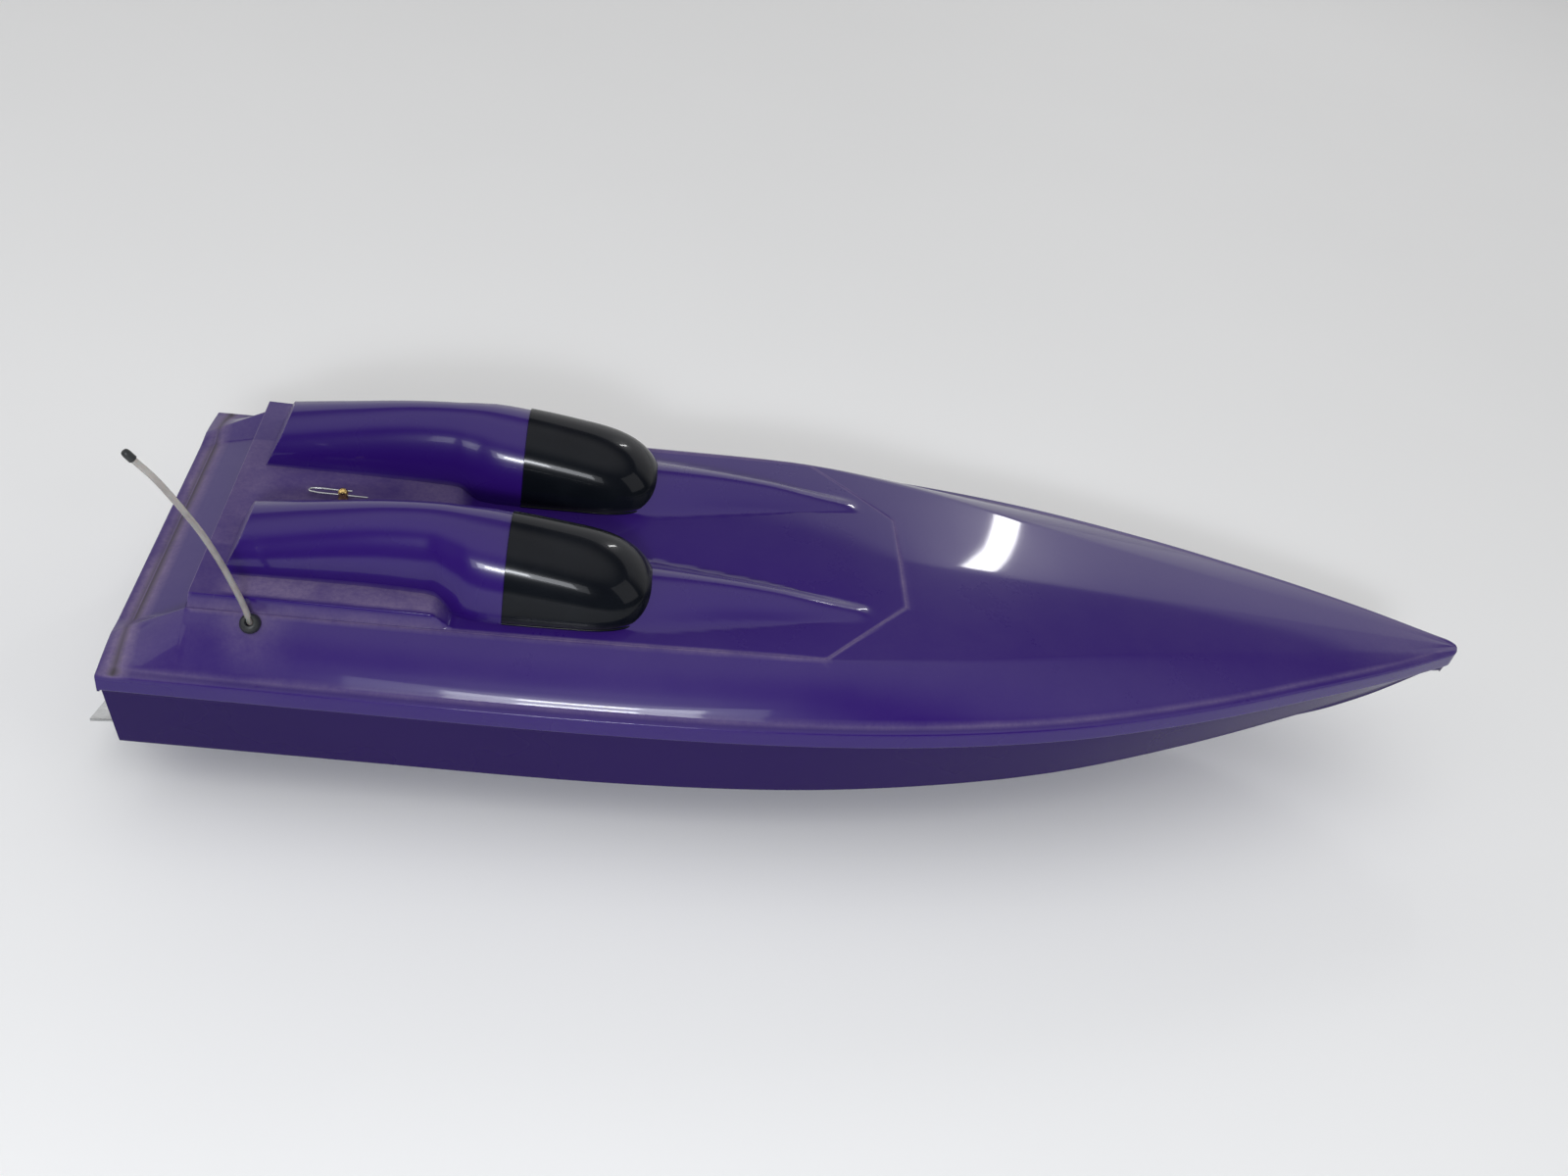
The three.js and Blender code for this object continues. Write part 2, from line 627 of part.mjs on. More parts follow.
function buildMotorMount() {
  const { from, to, half } = PLATE;
  const plate = box([from, to], [-half, half], [-20, 22]);
  const ear = (side) => {
    const y = [side * (half - 1), side * RAIL.outer].sort((a, b) => a - b);
    return box([from, to + EAR], y, [RAIL.top + GAP, RAIL.top + GAP + 2.5]);
  };
  const web = (side) => {
    const y = [side * (half - 2.5), side * half].sort((a, b) => a - b);
    return box([from, to + EAR], y, [RAIL.top - 6, RAIL.top + GAP + 2.5]);
  };
  const hole = bar("x", from - 1, to + 1, [0, 0], 6);
  return join(plate, ear(1), ear(-1), web(1), web(-1)).subtract(hole);
}

function buildJacket() {
  const { from, to, inner, outer } = JACKET;
  const nipple = (x) => bar("z", outer - 1, outer + 7, [x, 0], 1.8, 12);
  return join(tube("x", from, to, [0, 0], outer, inner, 32), nipple(from + 5), nipple(to - 5));
}

piece("propeller", buildPropeller(), BRASS, driveLine);
piece("propeller_nut", buildNut(), BRASS, driveLine);
piece("drive_dog", tube("x", HUB.to + GAP, DOG_END, [0, 0], 4.4, SHAFT_RADIUS + GAP), STEEL, driveLine);
piece("propeller_shaft", bar("x", -11.5, SHAFT_END, [0, 0], SHAFT_RADIUS, 16), STEEL, driveLine);
piece("shaft_strut", buildStrut(), ALUMINIUM);
piece("stuffing_tube", tube("x", TUBE.from, TUBE.to, [0, 0], TUBE.outer, TUBE.inner), BRASS, driveLine);
piece("shaft_coupler", buildCoupler(), BRASS, driveLine);
const motorShaft = bar("x", SHAFT_END + 3.5, MOTOR.from - GAP, [0, 0], SHAFT_RADIUS, 16);
piece("motor_shaft", motorShaft, STEEL, driveLine);
piece("motor_mount", buildMotorMount(), ALUMINIUM, driveLine);
piece("motor_can", bar("x", MOTOR.from, MOTOR.to, [0, 0], MOTOR.radius, 32), STEEL, driveLine);
const endbell = bar("x", MOTOR.to + GAP, MOTOR.to + 8, [0, 0], MOTOR.radius - 2, 32);
piece("motor_endbell", endbell, BLACK_PLASTIC, driveLine);
piece("motor_water_jacket", buildJacket(), BLUE_ALUMINIUM, driveLine);
for (const [name, side] of [["motor_rail_port", 1], ["motor_rail_starboard", -1]]) {
  const y = [side * RAIL.inner, side * RAIL.outer].sort((a, b) => a - b);
  piece(name, fitInHull(onDriveLine(box([RAIL.from, RAIL.to], y, [-40, RAIL.top]))), PLYWOOD);
}

// ---------------------------------------------------------------- stern gear on the raked transom
const transom = new THREE.Group();
transom.position.x = RAKE_X;
transom.rotation.y = -Math.atan(RAKE_X / SHEER);
boat.add(transom);
transom.updateMatrix();
const onTransom = (shape) => solid(geometryOf(shape).applyMatrix4(transom.matrix));

const RUDDER = { foot: 3, pin: 1.8, chord: 20 };
const BARREL = { from: 30, to: 44, radius: 4.2 };
const TILLER_Z = BARREL.to + 3.5;

function buildRudderBracket() {
  const plate = box([-2.6, -GAP], [RUDDER_Y - 9, RUDDER_Y + 9], [24, 50]);
  const arm = box([-RUDDER_AFT, -2], [RUDDER_Y - 2.5, RUDDER_Y + 2.5], [BARREL.from, BARREL.to]);
  const barrel = bar("z", BARREL.from, BARREL.to, [-RUDDER_AFT, RUDDER_Y], BARREL.radius);
  const bore = bar("z", 0, 60, [-RUDDER_AFT, RUDDER_Y], RUDDER.pin + GAP);
  return join(plate, arm, barrel).subtract(bore);
}

function buildRudderBlade() {
  const { foot, chord } = RUDDER;
  const top = BARREL.from - 1;
  const outline = new THREE.Shape();
  outline.moveTo(3.5, top);
  outline.lineTo(-8, top);
  outline.quadraticCurveTo(-chord + 2, (top + foot) / 2, -chord + 3, foot);
  outline.lineTo(1, foot);
  outline.quadraticCurveTo(5, foot + 8, 3.5, top);
  const geometry = new THREE.ExtrudeGeometry(outline, { depth: 2.4, bevelEnabled: false, curveSegments: 8 });
  geometry.rotateX(Math.PI / 2);
  geometry.translate(-RUDDER_AFT, RUDDER_Y + 1.2, 0);
  const blade = solid(geometry);
  const stock = bar("z", foot + 8, top + 0.6, [-RUDDER_AFT, RUDDER_Y], 3);
  const bore = bar("z", foot + 10, top + 5, [-RUDDER_AFT, RUDDER_Y], RUDDER.pin + GAP);
  return join(blade, stock).subtract(bore);
}

function buildTiller() {
  const hub = bar("z", BARREL.to + GAP, TILLER_Z + 1.5, [-RUDDER_AFT, RUDDER_Y], 4.5);
  const arm = box(
    [-RUDDER_AFT - 2.2, -RUDDER_AFT + 2.2],
    [RUDDER_Y - TILLER_ARM - 2.5, RUDDER_Y],
    [BARREL.to + GAP, BARREL.to + 2.5],
  );
  return join(hub, arm).subtract(bar("z", 0, 60, [-RUDDER_AFT, RUDDER_Y], RUDDER.pin + GAP));
}

const PUSHROD_Y = RUDDER_Y - TILLER_ARM;
const ROD_Z = TILLER_Z + 2.5;

const TAB = { from: 62, to: 94, chord: 20, drop: 1.6 };
const deadrise = Math.atan((chineTop(0) - keel(0)) / (chineHalf(0) - PAD_HALF));
const tabFootZ = (TAB.from - PAD_HALF) * Math.tan(deadrise);

// A trim tab or its bracket: drawn level, outboard of the tab's inner end, then tilted to the deadrise.
function onDeadrise(shape, side) {
  const geometry = geometryOf(shape);
  geometry.rotateX(deadrise);
  geometry.translate(0, TAB.from, tabFootZ + 2.5);
  const made = solid(geometry);
  return side > 0 ? made : made.mirror([0, 1, 0]);
}

function buildTab() {
  const width = (TAB.to - TAB.from) / Math.cos(deadrise);
  const plate = box([-TAB.chord, -3], [0, width], [-0.8, 0.8]);
  const knuckle = bar("y", 2, width - 2, [-3, 0], 1.5, 12);
  return join(plate, knuckle);
}

function buildTabBracket() {
  const width = (TAB.to - TAB.from) / Math.cos(deadrise);
  const plate = box([-1.2, -GAP], [2, width - 2], [-2, 12]);
  const arm = box([-9, -1], [width / 2 - 1.5, width / 2 + 1.5], [8, 11]);
  const screw = bar("z", 2.1, 14, [-8, width / 2], 1.4, 12);
  return join(plate, arm, screw);
}

piece("rudder_bracket", buildRudderBracket(), ALUMINIUM, transom);
piece("rudder_blade", buildRudderBlade(), ALUMINIUM, transom);
const rudderPin = bar("z", RUDDER.foot + 11, TILLER_Z + 1, [-RUDDER_AFT, RUDDER_Y], RUDDER.pin, 16);
piece("rudder_pin", rudderPin, STEEL, transom);
piece("tiller_arm", buildTiller(), ALUMINIUM, transom);
for (const [side, label] of [[1, "port"], [-1, "starboard"]]) {
  piece("trim_tab_" + label, onDeadrise(buildTab(), side), STEEL, transom);
  piece("trim_tab_bracket_" + label, onDeadrise(buildTabBracket(), side), ALUMINIUM, transom);
}

// ---------------------------------------------------------------- steering gear inside the hull
const SERVO = { x: [68, 108], y: [-50, -30], z: [17, 50] };
const HORN_Z = 54;

function buildServo() {
  const { x, y, z } = SERVO;
  const spline = bar("z", z[1] - 1, HORN_Z - GAP, [SERVO_X, RUDDER_Y], 4);
  const ears = box([x[0] - 7, x[1] + 7], y, [z[1] - 12, z[1] - 9.5]);
  return join(box(x, y, z), ears, spline);
}

function buildServoMount() {
  const { x, y, z } = SERVO;
  const post = (from, to) => box([from, to], [y[0] - 3, y[1] + 3], [-5, z[1] - 12 - GAP]);
  const base = box([x[0] - 8, x[1] + 8], [y[0] - 3, y[1] + 3], [-5, z[0] - GAP]);
  return fitInHull(join(base, post(x[0] - 8, x[0] - GAP), post(x[1] + GAP, x[1] + 8)));
}

function buildServoHorn() {
  const hub = bar("z", HORN_Z, HORN_Z + 3.5, [SERVO_X, RUDDER_Y], 4.5);
  const arm = box([SERVO_X - 2.2, SERVO_X + 2.2], [PUSHROD_Y - 2.5, RUDDER_Y], [HORN_Z, HORN_Z + 2.2]);
  return join(hub, arm);
}

// The pushrod runs from over the tiller's arm to over the horn's arm.
const tillerEnd = new THREE.Vector3(-RUDDER_AFT, PUSHROD_Y, ROD_Z).applyMatrix4(transom.matrix);
const hornEnd = new THREE.Vector3(SERVO_X, PUSHROD_Y, HORN_Z + 4.5);
const rodTilt = Math.atan2(hornEnd.z - tillerEnd.z, hornEnd.x - tillerEnd.x);

// Places a bar drawn along X, from the tiller's end, on the pushrod's line.
function onPushrod(shape) {
  const geometry = geometryOf(shape);
  geometry.rotateY(-rodTilt);
  geometry.translate(...tillerEnd.toArray());
  return solid(geometry);
}

function buildPushrod() {
  const length = hornEnd.distanceTo(tillerEnd);
  const rod = bar("x", 0, length, [0, 0], 1, 12);
  const clevis = (x) => bar("x", x - 4, x + 4, [0, 0], 1.6, 12);
  return onPushrod(join(rod, clevis(0.5), clevis(length - 0.5)));
}

function buildPushrodSeal() {
  const cup = bar("x", 13.6, 27, [0, 0], 4.5, 20, 2.8);
  const flange = bar("x", 13.6, 15, [0, 0], 6, 20);
  return onPushrod(join(flange, cup).subtract(bar("x", 0, 40, [0, 0], 1 + GAP, 12)));
}

piece("steering_servo", buildServo(), BLACK_PLASTIC);
piece("servo_mount", buildServoMount(), PLYWOOD);
piece("servo_horn", buildServoHorn(), GREY_PLASTIC);
piece("steering_pushrod", buildPushrod(), STEEL);
piece("pushrod_seal", buildPushrodSeal(), BLACK_RUBBER);

// ---------------------------------------------------------------- batteries and radio gear
const BATTERY = { x: [120, 252], y: [35, 59], z: [25, 71] };
const BATTERY_STRAP_X = [140, 218];
const STRAP_WIDTH = 16;
const ESC = { x: [58, 108], y: [20, 52], z: [22, 40] };
const RADIO = { x: [286, 362], half: 31, z: [8, 54], floor: 18, wall: 2 };

function onSide(side, y) {
  return side > 0 ? y : [-y[1], -y[0]];
}

function buildBatteryTray(side) {
  const { x, y, z } = BATTERY;
  const low = box([x[0] - 4, x[1] + 4], onSide(side, [y[0] - 3, y[1] + 3]), [-5, z[0] + 8]);
  const room = box([x[0] - 1, x[1] + 1], onSide(side, [y[0] - 1.5, y[1] + 1.5]), [z[0] - GAP, z[0] + 20]);
  return fitInHull(low.subtract(room));
}

function buildBatteryStrap(side, x) {
  const { y, z } = BATTERY;
  const across = (extra) => onSide(side, [y[0] - extra, y[1] + extra]);
  const outside = box([x, x + STRAP_WIDTH], across(GAP + 1), [z[0] + 0.5, z[1] + GAP + 1]);
  const inside = box([x - 1, x + STRAP_WIDTH + 1], across(GAP), [z[0] - 5, z[1] + GAP]);
  return outside.subtract(inside);
}

function buildRadioBox() {
  const { x, half, z, floor, wall } = RADIO;
  const outside = box(x, [-half, half], z);
  const inside = box([x[0] + wall, x[1] - wall], [-half + wall, half - wall], [floor, z[1] + 5]);
  return fitInHull(outside.subtract(inside));
}

function buildRadioLid() {
  const { x, half, z } = RADIO;
  const lid = box([x[0] - 1, x[1] + 1], [-half - 1, half + 1], [z[1] + GAP, z[1] + 2.8]);
  const slot = box([x[0] + 8, x[0] + 22], [-24, -18], [z[1] - 1, z[1] + 5]);
  return lid.subtract(slot);
}

const SWITCH_X = RADIO.x[0] + 15;
const SWITCH_Z = RADIO.z[1] + 2.8;

function buildSwitchFrame() {
  const frame = box([SWITCH_X - 11, SWITCH_X + 11], [-26, -16], [SWITCH_Z + GAP, SWITCH_Z + 2.3]);
  return frame.subtract(box([SWITCH_X - 6, SWITCH_X + 6], [-23.5, -18.5], [SWITCH_Z - 1, SWITCH_Z + 5]));
}

function buildSwitchSlider() {
  return box([SWITCH_X - 4.5, SWITCH_X + 0.5], [-23, -19], [SWITCH_Z - 1.2, SWITCH_Z + 5]);
}

for (const [side, label] of [[1, "port"], [-1, "starboard"]]) {
  piece("battery_tray_" + label, buildBatteryTray(side), PLYWOOD);
  piece("battery_pack_" + label, box(BATTERY.x, onSide(side, BATTERY.y), BATTERY.z), BATTERY_WRAP);
  BATTERY_STRAP_X.forEach((x, i) => {
    piece("battery_strap_" + label + (i ? "_front" : "_rear"), buildBatteryStrap(side, x), STRAP);
  });
}

function buildSpeedController() {
  const { x, y, z } = ESC;
  const fin = (from) => box([x[0] + 6, x[1] - 6], [from, from + 1.5], [z[1] - 1, z[1] + 5]);
  const fins = [0, 1, 2, 3, 4, 5].map((i) => fin(y[0] + 4 + i * 4));
  return join(box(x, y, z), ...fins);
}

piece("speed_controller", buildSpeedController(), BLACK_PLASTIC);
const escBlock = box(ESC.x, [ESC.y[0], ESC.y[1] + 2], [-5, ESC.z[0] - GAP]);
piece("speed_controller_block", fitInHull(escBlock), PLYWOOD);
piece("radio_box", buildRadioBox(), BLACK_PLASTIC);
piece("radio_box_lid", buildRadioLid(), BLACK_PLASTIC);
piece("receiver", box([305, 345], [-14, 14], [RADIO.floor + GAP, RADIO.floor + 17]), GREY_PLASTIC);
piece("switch_frame", buildSwitchFrame(), BLACK_PLASTIC);
piece("switch_slider", buildSwitchSlider(), GREY_PLASTIC);
piece("bow_foam", fitInHull(box([520, 620], [-60, 60], [-5, 84])), FOAM);

// ---------------------------------------------------------------- cooling water
const PICKUP_Y = 32;
const OUTLET = { y: 66, z: 52 };

function buildPickup() {
  const [narrow, wide] = [1.5, 2.5];
  const outline = [
    [-9, PICKUP_Y - narrow], [-2, PICKUP_Y - wide], [-2, PICKUP_Y + wide], [-9, PICKUP_Y + narrow],
  ];
  const foot = plan(outline, [4, 24]);
  const plate = box([-2.4, -GAP], [PICKUP_Y - 6, PICKUP_Y + 6], [14, 30]);
  const nipple = bar("x", -2, 12, [PICKUP_Y, 24], 1.8, 12);
  return join(foot, plate, nipple);
}

function buildOutlet() {
  const flange = bar("x", -2.5, -GAP, [OUTLET.y, OUTLET.z], 5, 16);
  const nipple = bar("x", -6, 12, [OUTLET.y, OUTLET.z], 2, 16);
  return join(flange, nipple);
}

piece("water_pickup", buildPickup(), ALUMINIUM, transom);
piece("water_outlet", buildOutlet(), ALUMINIUM, transom);

// ---------------------------------------------------------------- hatch latch
const LATCH_X = 97;
const VALLEY = SHEER + PLINTH_TOP; // the hatch's top between the pods
const BAR_TOP = SHEER + 18.4;
const POST = { stem: 1.9, head: 2.75, foot: VALLEY + GAP, hole: VALLEY + 3.2, top: VALLEY + 5 };
const WIRE = 0.6;
const CLIP_AFT = 79;
const CLIP_FRONT = 110;

function buildCrossbar() {
  const bridge = box([LATCH_X - 8, LATCH_X + 8], [-82, 82], [BAR_TOP - 5, BAR_TOP]);
  return bridge.subtract(bar("z", BAR_TOP - 10, BAR_TOP + 5, [LATCH_X, 0], POST.stem + GAP, 16));
}

function buildLatchPost() {
  const stem = bar("z", BAR_TOP - 4, POST.foot + 1, [LATCH_X, 0], POST.stem, 16);
  const head = bar("z", POST.foot, POST.top, [LATCH_X, 0], POST.head, 20);
  const crown = new THREE.SphereGeometry(POST.head, 20, 10);
  crown.rotateX(Math.PI / 2);
  crown.translate(LATCH_X, 0, POST.top);
  const eye = bar("x", LATCH_X - 10, LATCH_X + 10, [0, POST.hole], WIRE + GAP, 12);
  return join(stem, head, solid(crown)).subtract(eye);
}

function buildLatchClip() {
  const side = POST.head + WIRE + GAP;
  const z = POST.hole;
  const route = [
    [CLIP_FRONT, 0, z], [LATCH_X + 6, 0, z], [LATCH_X, 0, z], [LATCH_X - 6, 0, z], [CLIP_AFT + 5, 0, z],
    [CLIP_AFT + 1, 0.7, z], [CLIP_AFT, 2, z], [CLIP_AFT + 1, 3.3, z], [CLIP_AFT + 5, 4, z],
    [LATCH_X - 6, side + 0.2, z], [LATCH_X, side + 0.3, z], [LATCH_X + 4, side + 0.6, z],
  ];
  return cord(route, WIRE, 6, 3);
}

// ---------------------------------------------------------------- antenna
// Height of the deck's side at x and y.
function deckSide(x, y) {
  const points = deckHalf(x, 0, 0);
  const i = points.findIndex(([across]) => across < Math.abs(y));
  const [[y0, z0], [y1, z1]] = [points[i - 1], points[i]];
  return z0 + ((z1 - z0) * (y0 - Math.abs(y))) / (y0 - y1);
}

GROMMET.z = deckSide(GROMMET.x, GROMMET.y) + 0.2;
const deckSlope = Math.atan2(
  deckSide(GROMMET.x, GROMMET.y + 3) - deckSide(GROMMET.x, GROMMET.y - 3),
  6,
);

// Places a shape drawn about +Z, from the deck's surface, square to the deck at the grommet.
function onGrommet(shape) {
  const geometry = geometryOf(shape);
  geometry.rotateX(deckSlope);
  geometry.translate(GROMMET.x, GROMMET.y, GROMMET.z);
  return solid(geometry);
}

// The tube rises steeply out of the grommet and bends over aft; its end is capped.
const TUBE_ROUTE = [
  [-0.1, 0.4], [-2, 10.5], [-5.9, 23.8], [-11.5, 40],
  [-18.2, 55.8], [-26.5, 70.8], [-35.2, 84.4], [-43.2, 93.9],
].map(([x, z]) => [GROMMET.x + x, GROMMET.y, GROMMET.z + z]);

function buildGrommet() {
  const outline = [[0, -5], [3.4, -5], [3.4, GAP], [5.2, GAP], [5.1, 2], [4.2, 3.8], [2.6, 4.6], [0, 4.8]];
  const section = outline.map(([r, z]) => new THREE.Vector2(r, z));
  const geometry = new THREE.LatheGeometry(section, 16);
  geometry.rotateX(Math.PI / 2);
  const route = [[GROMMET.x, GROMMET.y, GROMMET.z], ...TUBE_ROUTE.slice(1, 3)];
  const bore = cord(route, TUBE_RADIUS + GAP, 12, 2);
  return onGrommet(solid(geometry)).subtract(solid(bore));
}

function buildAntennaCap() {
  const [before, end] = TUBE_ROUTE.slice(-2).map((p) => new THREE.Vector3(...p));
  const along = end.clone().sub(before).normalize();
  const geometry = new THREE.CylinderGeometry(1.5, 2.1, 6, 16);
  geometry.applyQuaternion(new THREE.Quaternion().setFromUnitVectors(new THREE.Vector3(0, 1, 0), along));
  geometry.translate(...end.addScaledVector(along, 3 + GAP).toArray());
  return geometry;
}

piece("antenna_grommet", buildGrommet(), BLACK_RUBBER);
piece("antenna_tube", cord(TUBE_ROUTE, TUBE_RADIUS, 8, 3), CLEAR_NYLON);
piece("antenna_cap", buildAntennaCap(), BLACK_RUBBER);

// ---------------------------------------------------------------- hoses and leads
const HOSE_RADIUS = 2.2;
const placed = (x, y, z, group) => new THREE.Vector3(x, y, z).applyMatrix4(group.matrix).toArray();
const nippleTop = (x) => placed(x, 0, JACKET.outer + 7.4, driveLine);
const behindTransom = (y, z) => placed(12.4, y, z, transom);

function feedHose() {
  const start = behindTransom(PICKUP_Y, 24);
  const end = nippleTop(JACKET.from + 5);
  return [
    start, [start[0] + 8, 32, start[2] + 2], [38, 32, 36], [54, 31, 51], [80, 25, 51],
    [112, 23.5, 50.5], [150, 27, 49], [190, 27.5, 52], [208, 22, 66],
    [end[0] - 3, 8, 76], [end[0], 1, end[2] + 6], end,
  ];
}

function returnHose() {
  const start = nippleTop(JACKET.to - 5);
  const end = behindTransom(OUTLET.y, OUTLET.z);
  return [
    start, [start[0], 1, start[2] + 6], [start[0] - 2, 10, 79], [215, 28, 82], [180, 44, 80], [130, 52, 79],
    [90, 58, 72], [50, 64, 57], [end[0] + 8, OUTLET.y, end[2] + 1], end,
  ];
}

function motorLead(shift) {
  const start = placed(MOTOR.to + 8.4, shift * 2, 6, driveLine);
  return [
    start, [start[0] + 5, shift * 2, start[2] + 1], [start[0] + 8, 8 + shift, 54], [258, 15 + shift, 64],
    [230, 26 + shift, 66], [180, 29 + shift, 64], [125, 29 + shift, 61], [114, 32 + shift, 52],
    [113, 36 + shift, 38], [ESC.x[1] + 2.6, 37 + shift, 32], [ESC.x[1] + 0.6, 37 + shift, 31.6],
  ];
}

piece("water_hose_feed", cord(feedHose(), HOSE_RADIUS, 8, 3), SILICONE);
piece("water_hose_return", cord(returnHose(), HOSE_RADIUS, 8, 3), SILICONE);
piece("motor_lead_red", cord(motorLead(1.8), 1.2, 6, 3), RED_WIRE);
piece("motor_lead_black", cord(motorLead(-1.8), 1.2, 6, 3), BLACK_RUBBER);

// ---------------------------------------------------------------- mouldings with their holes
const tubeHole = onDriveLine(bar("x", 24, 60, [0, 0], TUBE.outer + GAP));
const pushrodHole = onPushrod(bar("x", 2, 16, [0, 0], 1.7, 16));
const pickupHole = onTransom(bar("x", -3, 8, [PICKUP_Y, 24], 1.8 + GAP, 12));
const outletHole = onTransom(bar("x", -3, 8, [OUTLET.y, OUTLET.z], 2 + GAP, 16));
const grommetHole = onGrommet(bar("z", -9, 9, [0, 0], 3.4 + GAP, 24));
const latchHole = bar("z", VALLEY - 8, VALLEY + 4, [LATCH_X, 0], POST.stem + GAP, 16);

const hullHoles = [tubeHole, pushrodHole, pickupHole, outletHole];
const hull = hullHoles.reduce((shell, hole) => shell.subtract(hole), buildHull());
piece("hull_shell", hull, PURPLE);
piece("deck_shell", buildDeck().subtract(grommetHole), PURPLE);
piece("hatch_shell", buildHatch().subtract(latchHole), PURPLE);
piece("windshield_port", buildWindshield(1), BLACK_GLOSS);
piece("windshield_starboard", buildWindshield(-1), BLACK_GLOSS);
piece("hatch_crossbar", buildCrossbar(), PLYWOOD);
piece("latch_post", buildLatchPost(), BRASS);
piece("latch_clip", buildLatchClip(), STEEL);

export default boat;
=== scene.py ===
"""Looks for a radio-controlled racing boat: a glossy deep-V hull with a lift-off hatch, two cockpit
pods with black windshields, an antenna tube, and the drive and radio gear inside.

Lines of the boat are in millimetres, with x measured forward from the transom and z up from the
keel pad, as on a lines plan. Meshes are in metres, in the frame's own axes.
"""
import json
import math

import bmesh
import bpy
import numpy as np
from mathutils import Matrix, Vector

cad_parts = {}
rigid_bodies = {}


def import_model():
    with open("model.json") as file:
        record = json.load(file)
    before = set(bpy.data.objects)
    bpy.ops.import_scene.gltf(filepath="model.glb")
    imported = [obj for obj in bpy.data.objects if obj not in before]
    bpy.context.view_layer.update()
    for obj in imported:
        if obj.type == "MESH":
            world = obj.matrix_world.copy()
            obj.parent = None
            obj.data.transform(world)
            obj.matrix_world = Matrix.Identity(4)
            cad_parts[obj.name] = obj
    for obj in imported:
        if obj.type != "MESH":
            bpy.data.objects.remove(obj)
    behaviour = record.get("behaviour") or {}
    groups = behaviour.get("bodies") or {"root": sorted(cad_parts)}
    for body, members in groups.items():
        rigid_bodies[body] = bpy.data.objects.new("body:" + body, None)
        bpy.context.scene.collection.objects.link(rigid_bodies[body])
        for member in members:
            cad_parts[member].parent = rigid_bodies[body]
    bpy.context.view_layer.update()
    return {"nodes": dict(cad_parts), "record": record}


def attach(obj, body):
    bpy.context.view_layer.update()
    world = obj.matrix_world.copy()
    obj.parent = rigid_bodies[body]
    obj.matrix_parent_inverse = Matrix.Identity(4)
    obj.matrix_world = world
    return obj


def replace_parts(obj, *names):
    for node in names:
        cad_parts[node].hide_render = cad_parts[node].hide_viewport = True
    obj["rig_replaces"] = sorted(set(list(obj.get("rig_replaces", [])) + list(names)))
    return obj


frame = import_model()
MM = 0.001

# ---- driving dimensions, in mm
LENGTH = 762.0
ORIGIN_X = 230.0  # from the transom to the frame's origin
SHEER = 84.0  # deck lip at the transom
LIP_HEIGHT = 11.0
BOW_RADIUS = 8.0
BOW_TANGENT = 757.4
FLANGE = 5.0
RAKE_X = 6.5
TRANSOM = 3.0
PAD_HALF = 9.0
SKIN = 2.4
DECK_SKIN = 1.1
HATCH_SKIN = 1.4

HATCH_AFT = 38.0
HATCH_SHOULDER = 358.0
HATCH_FRONT = 406.0
HATCH_HALF = 86.0
HATCH_NOSE_HALF = 38.5
HATCH_GAP = 0.35
PLINTH_TOP = 33.0
PLINTH_END = 161.0
POD_AFT = 51.0
POD_RAKE = 2.2  # rise over run of the pods' aft faces
SCREEN_AFT = 190.0
SCREEN_TIP = 268.0
NOSE_START = 225.0

RIM = 7.5  # the aft rim's width
RIM_RISE = 2.5
RAMP_FOOT = 3.5
TRAY_TOP = 13.0

POCKET_LENGTH, POCKET_HALF, POCKET_TOP, POCKET_WALL = 44.0, 24.0, 42.0, 2.4
SHAFT_X, SHAFT_Z, SHAFT_SLOPE = 14.0, 17.0, 0.085  # the propeller's middle, and the shaft's rise over run
STUFFING_HOLE = 4.3
GROMMET = np.array([69.7, -91.6])
LATCH_X = 97.0
TUBE_RADIUS = 1.58

# points nearer than these are merged, in metres
WELD = 1e-6
SHEET_WELD = 2e-6
TIP_WELD = 2e-5

# a corner sharper than this stays sharp, in degrees
SHELL_SHARP = 35
GEAR_SHARP = 32
POST_SHARP = 40
ROUND_SHARP = 50
TUBE_SHARP = 60


# ---- curves
def fair(*points):
    """A smooth curve through [x, value] points."""
    xs, values = np.array(points, float).T
    slopes = np.gradient(values, xs)
    slopes[1:-1] = (values[2:] - values[:-2]) / (xs[2:] - xs[:-2])

    def curve(x):
        x = np.clip(np.asarray(x, float), xs[0], xs[-1])
        i = np.clip(np.searchsorted(xs, x, side="right") - 1, 0, len(xs) - 2)
        span = xs[i + 1] - xs[i]
        t = (x - xs[i]) / span
        ends = values[i] * (1 + 2 * t) * (1 - t) ** 2 + values[i + 1] * t * t * (3 - 2 * t)
        return ends + span * t * (1 - t) * ((1 - t) * slopes[i] - t * slopes[i + 1])

    return curve


def fair_above_sheer(*points):
    return fair(*([x, SHEER + rise] for x, rise in points))


side_beam = fair(
    [0, 114.4], [120, 117.3], [240, 119.4], [340, 117.7], [420, 111.5],
    [500, 98.3], [580, 76.5], [650, 52], [710, 28.8], [BOW_TANGENT, 7.25],
)
lip_top = fair_above_sheer([0, 0], [200, 2.8], [320, 4.8], [440, 7.4], [560, 9.8], [660, 11], [LENGTH, 9.8])
deck_centre = fair_above_sheer(
    [0, 24], [260, 29], [350, 31.8], [410, 31], [460, 28.4],
    [520, 25.2], [580, 21.8], [640, 17.8], [705, 13.4], [LENGTH, 10.2],
)
shoulder_half = fair([0, 87], [340, 87], [420, 78], [520, 54], [620, 32], [710, 13], [LENGTH, 0])
shoulder_top = fair_above_sheer(
    [0, 24.3], [160, 25.3], [260, 27.2], [350, 29.6], [420, 27.6],
    [520, 22.4], [620, 17], [710, 12.4], [LENGTH, 10],
)
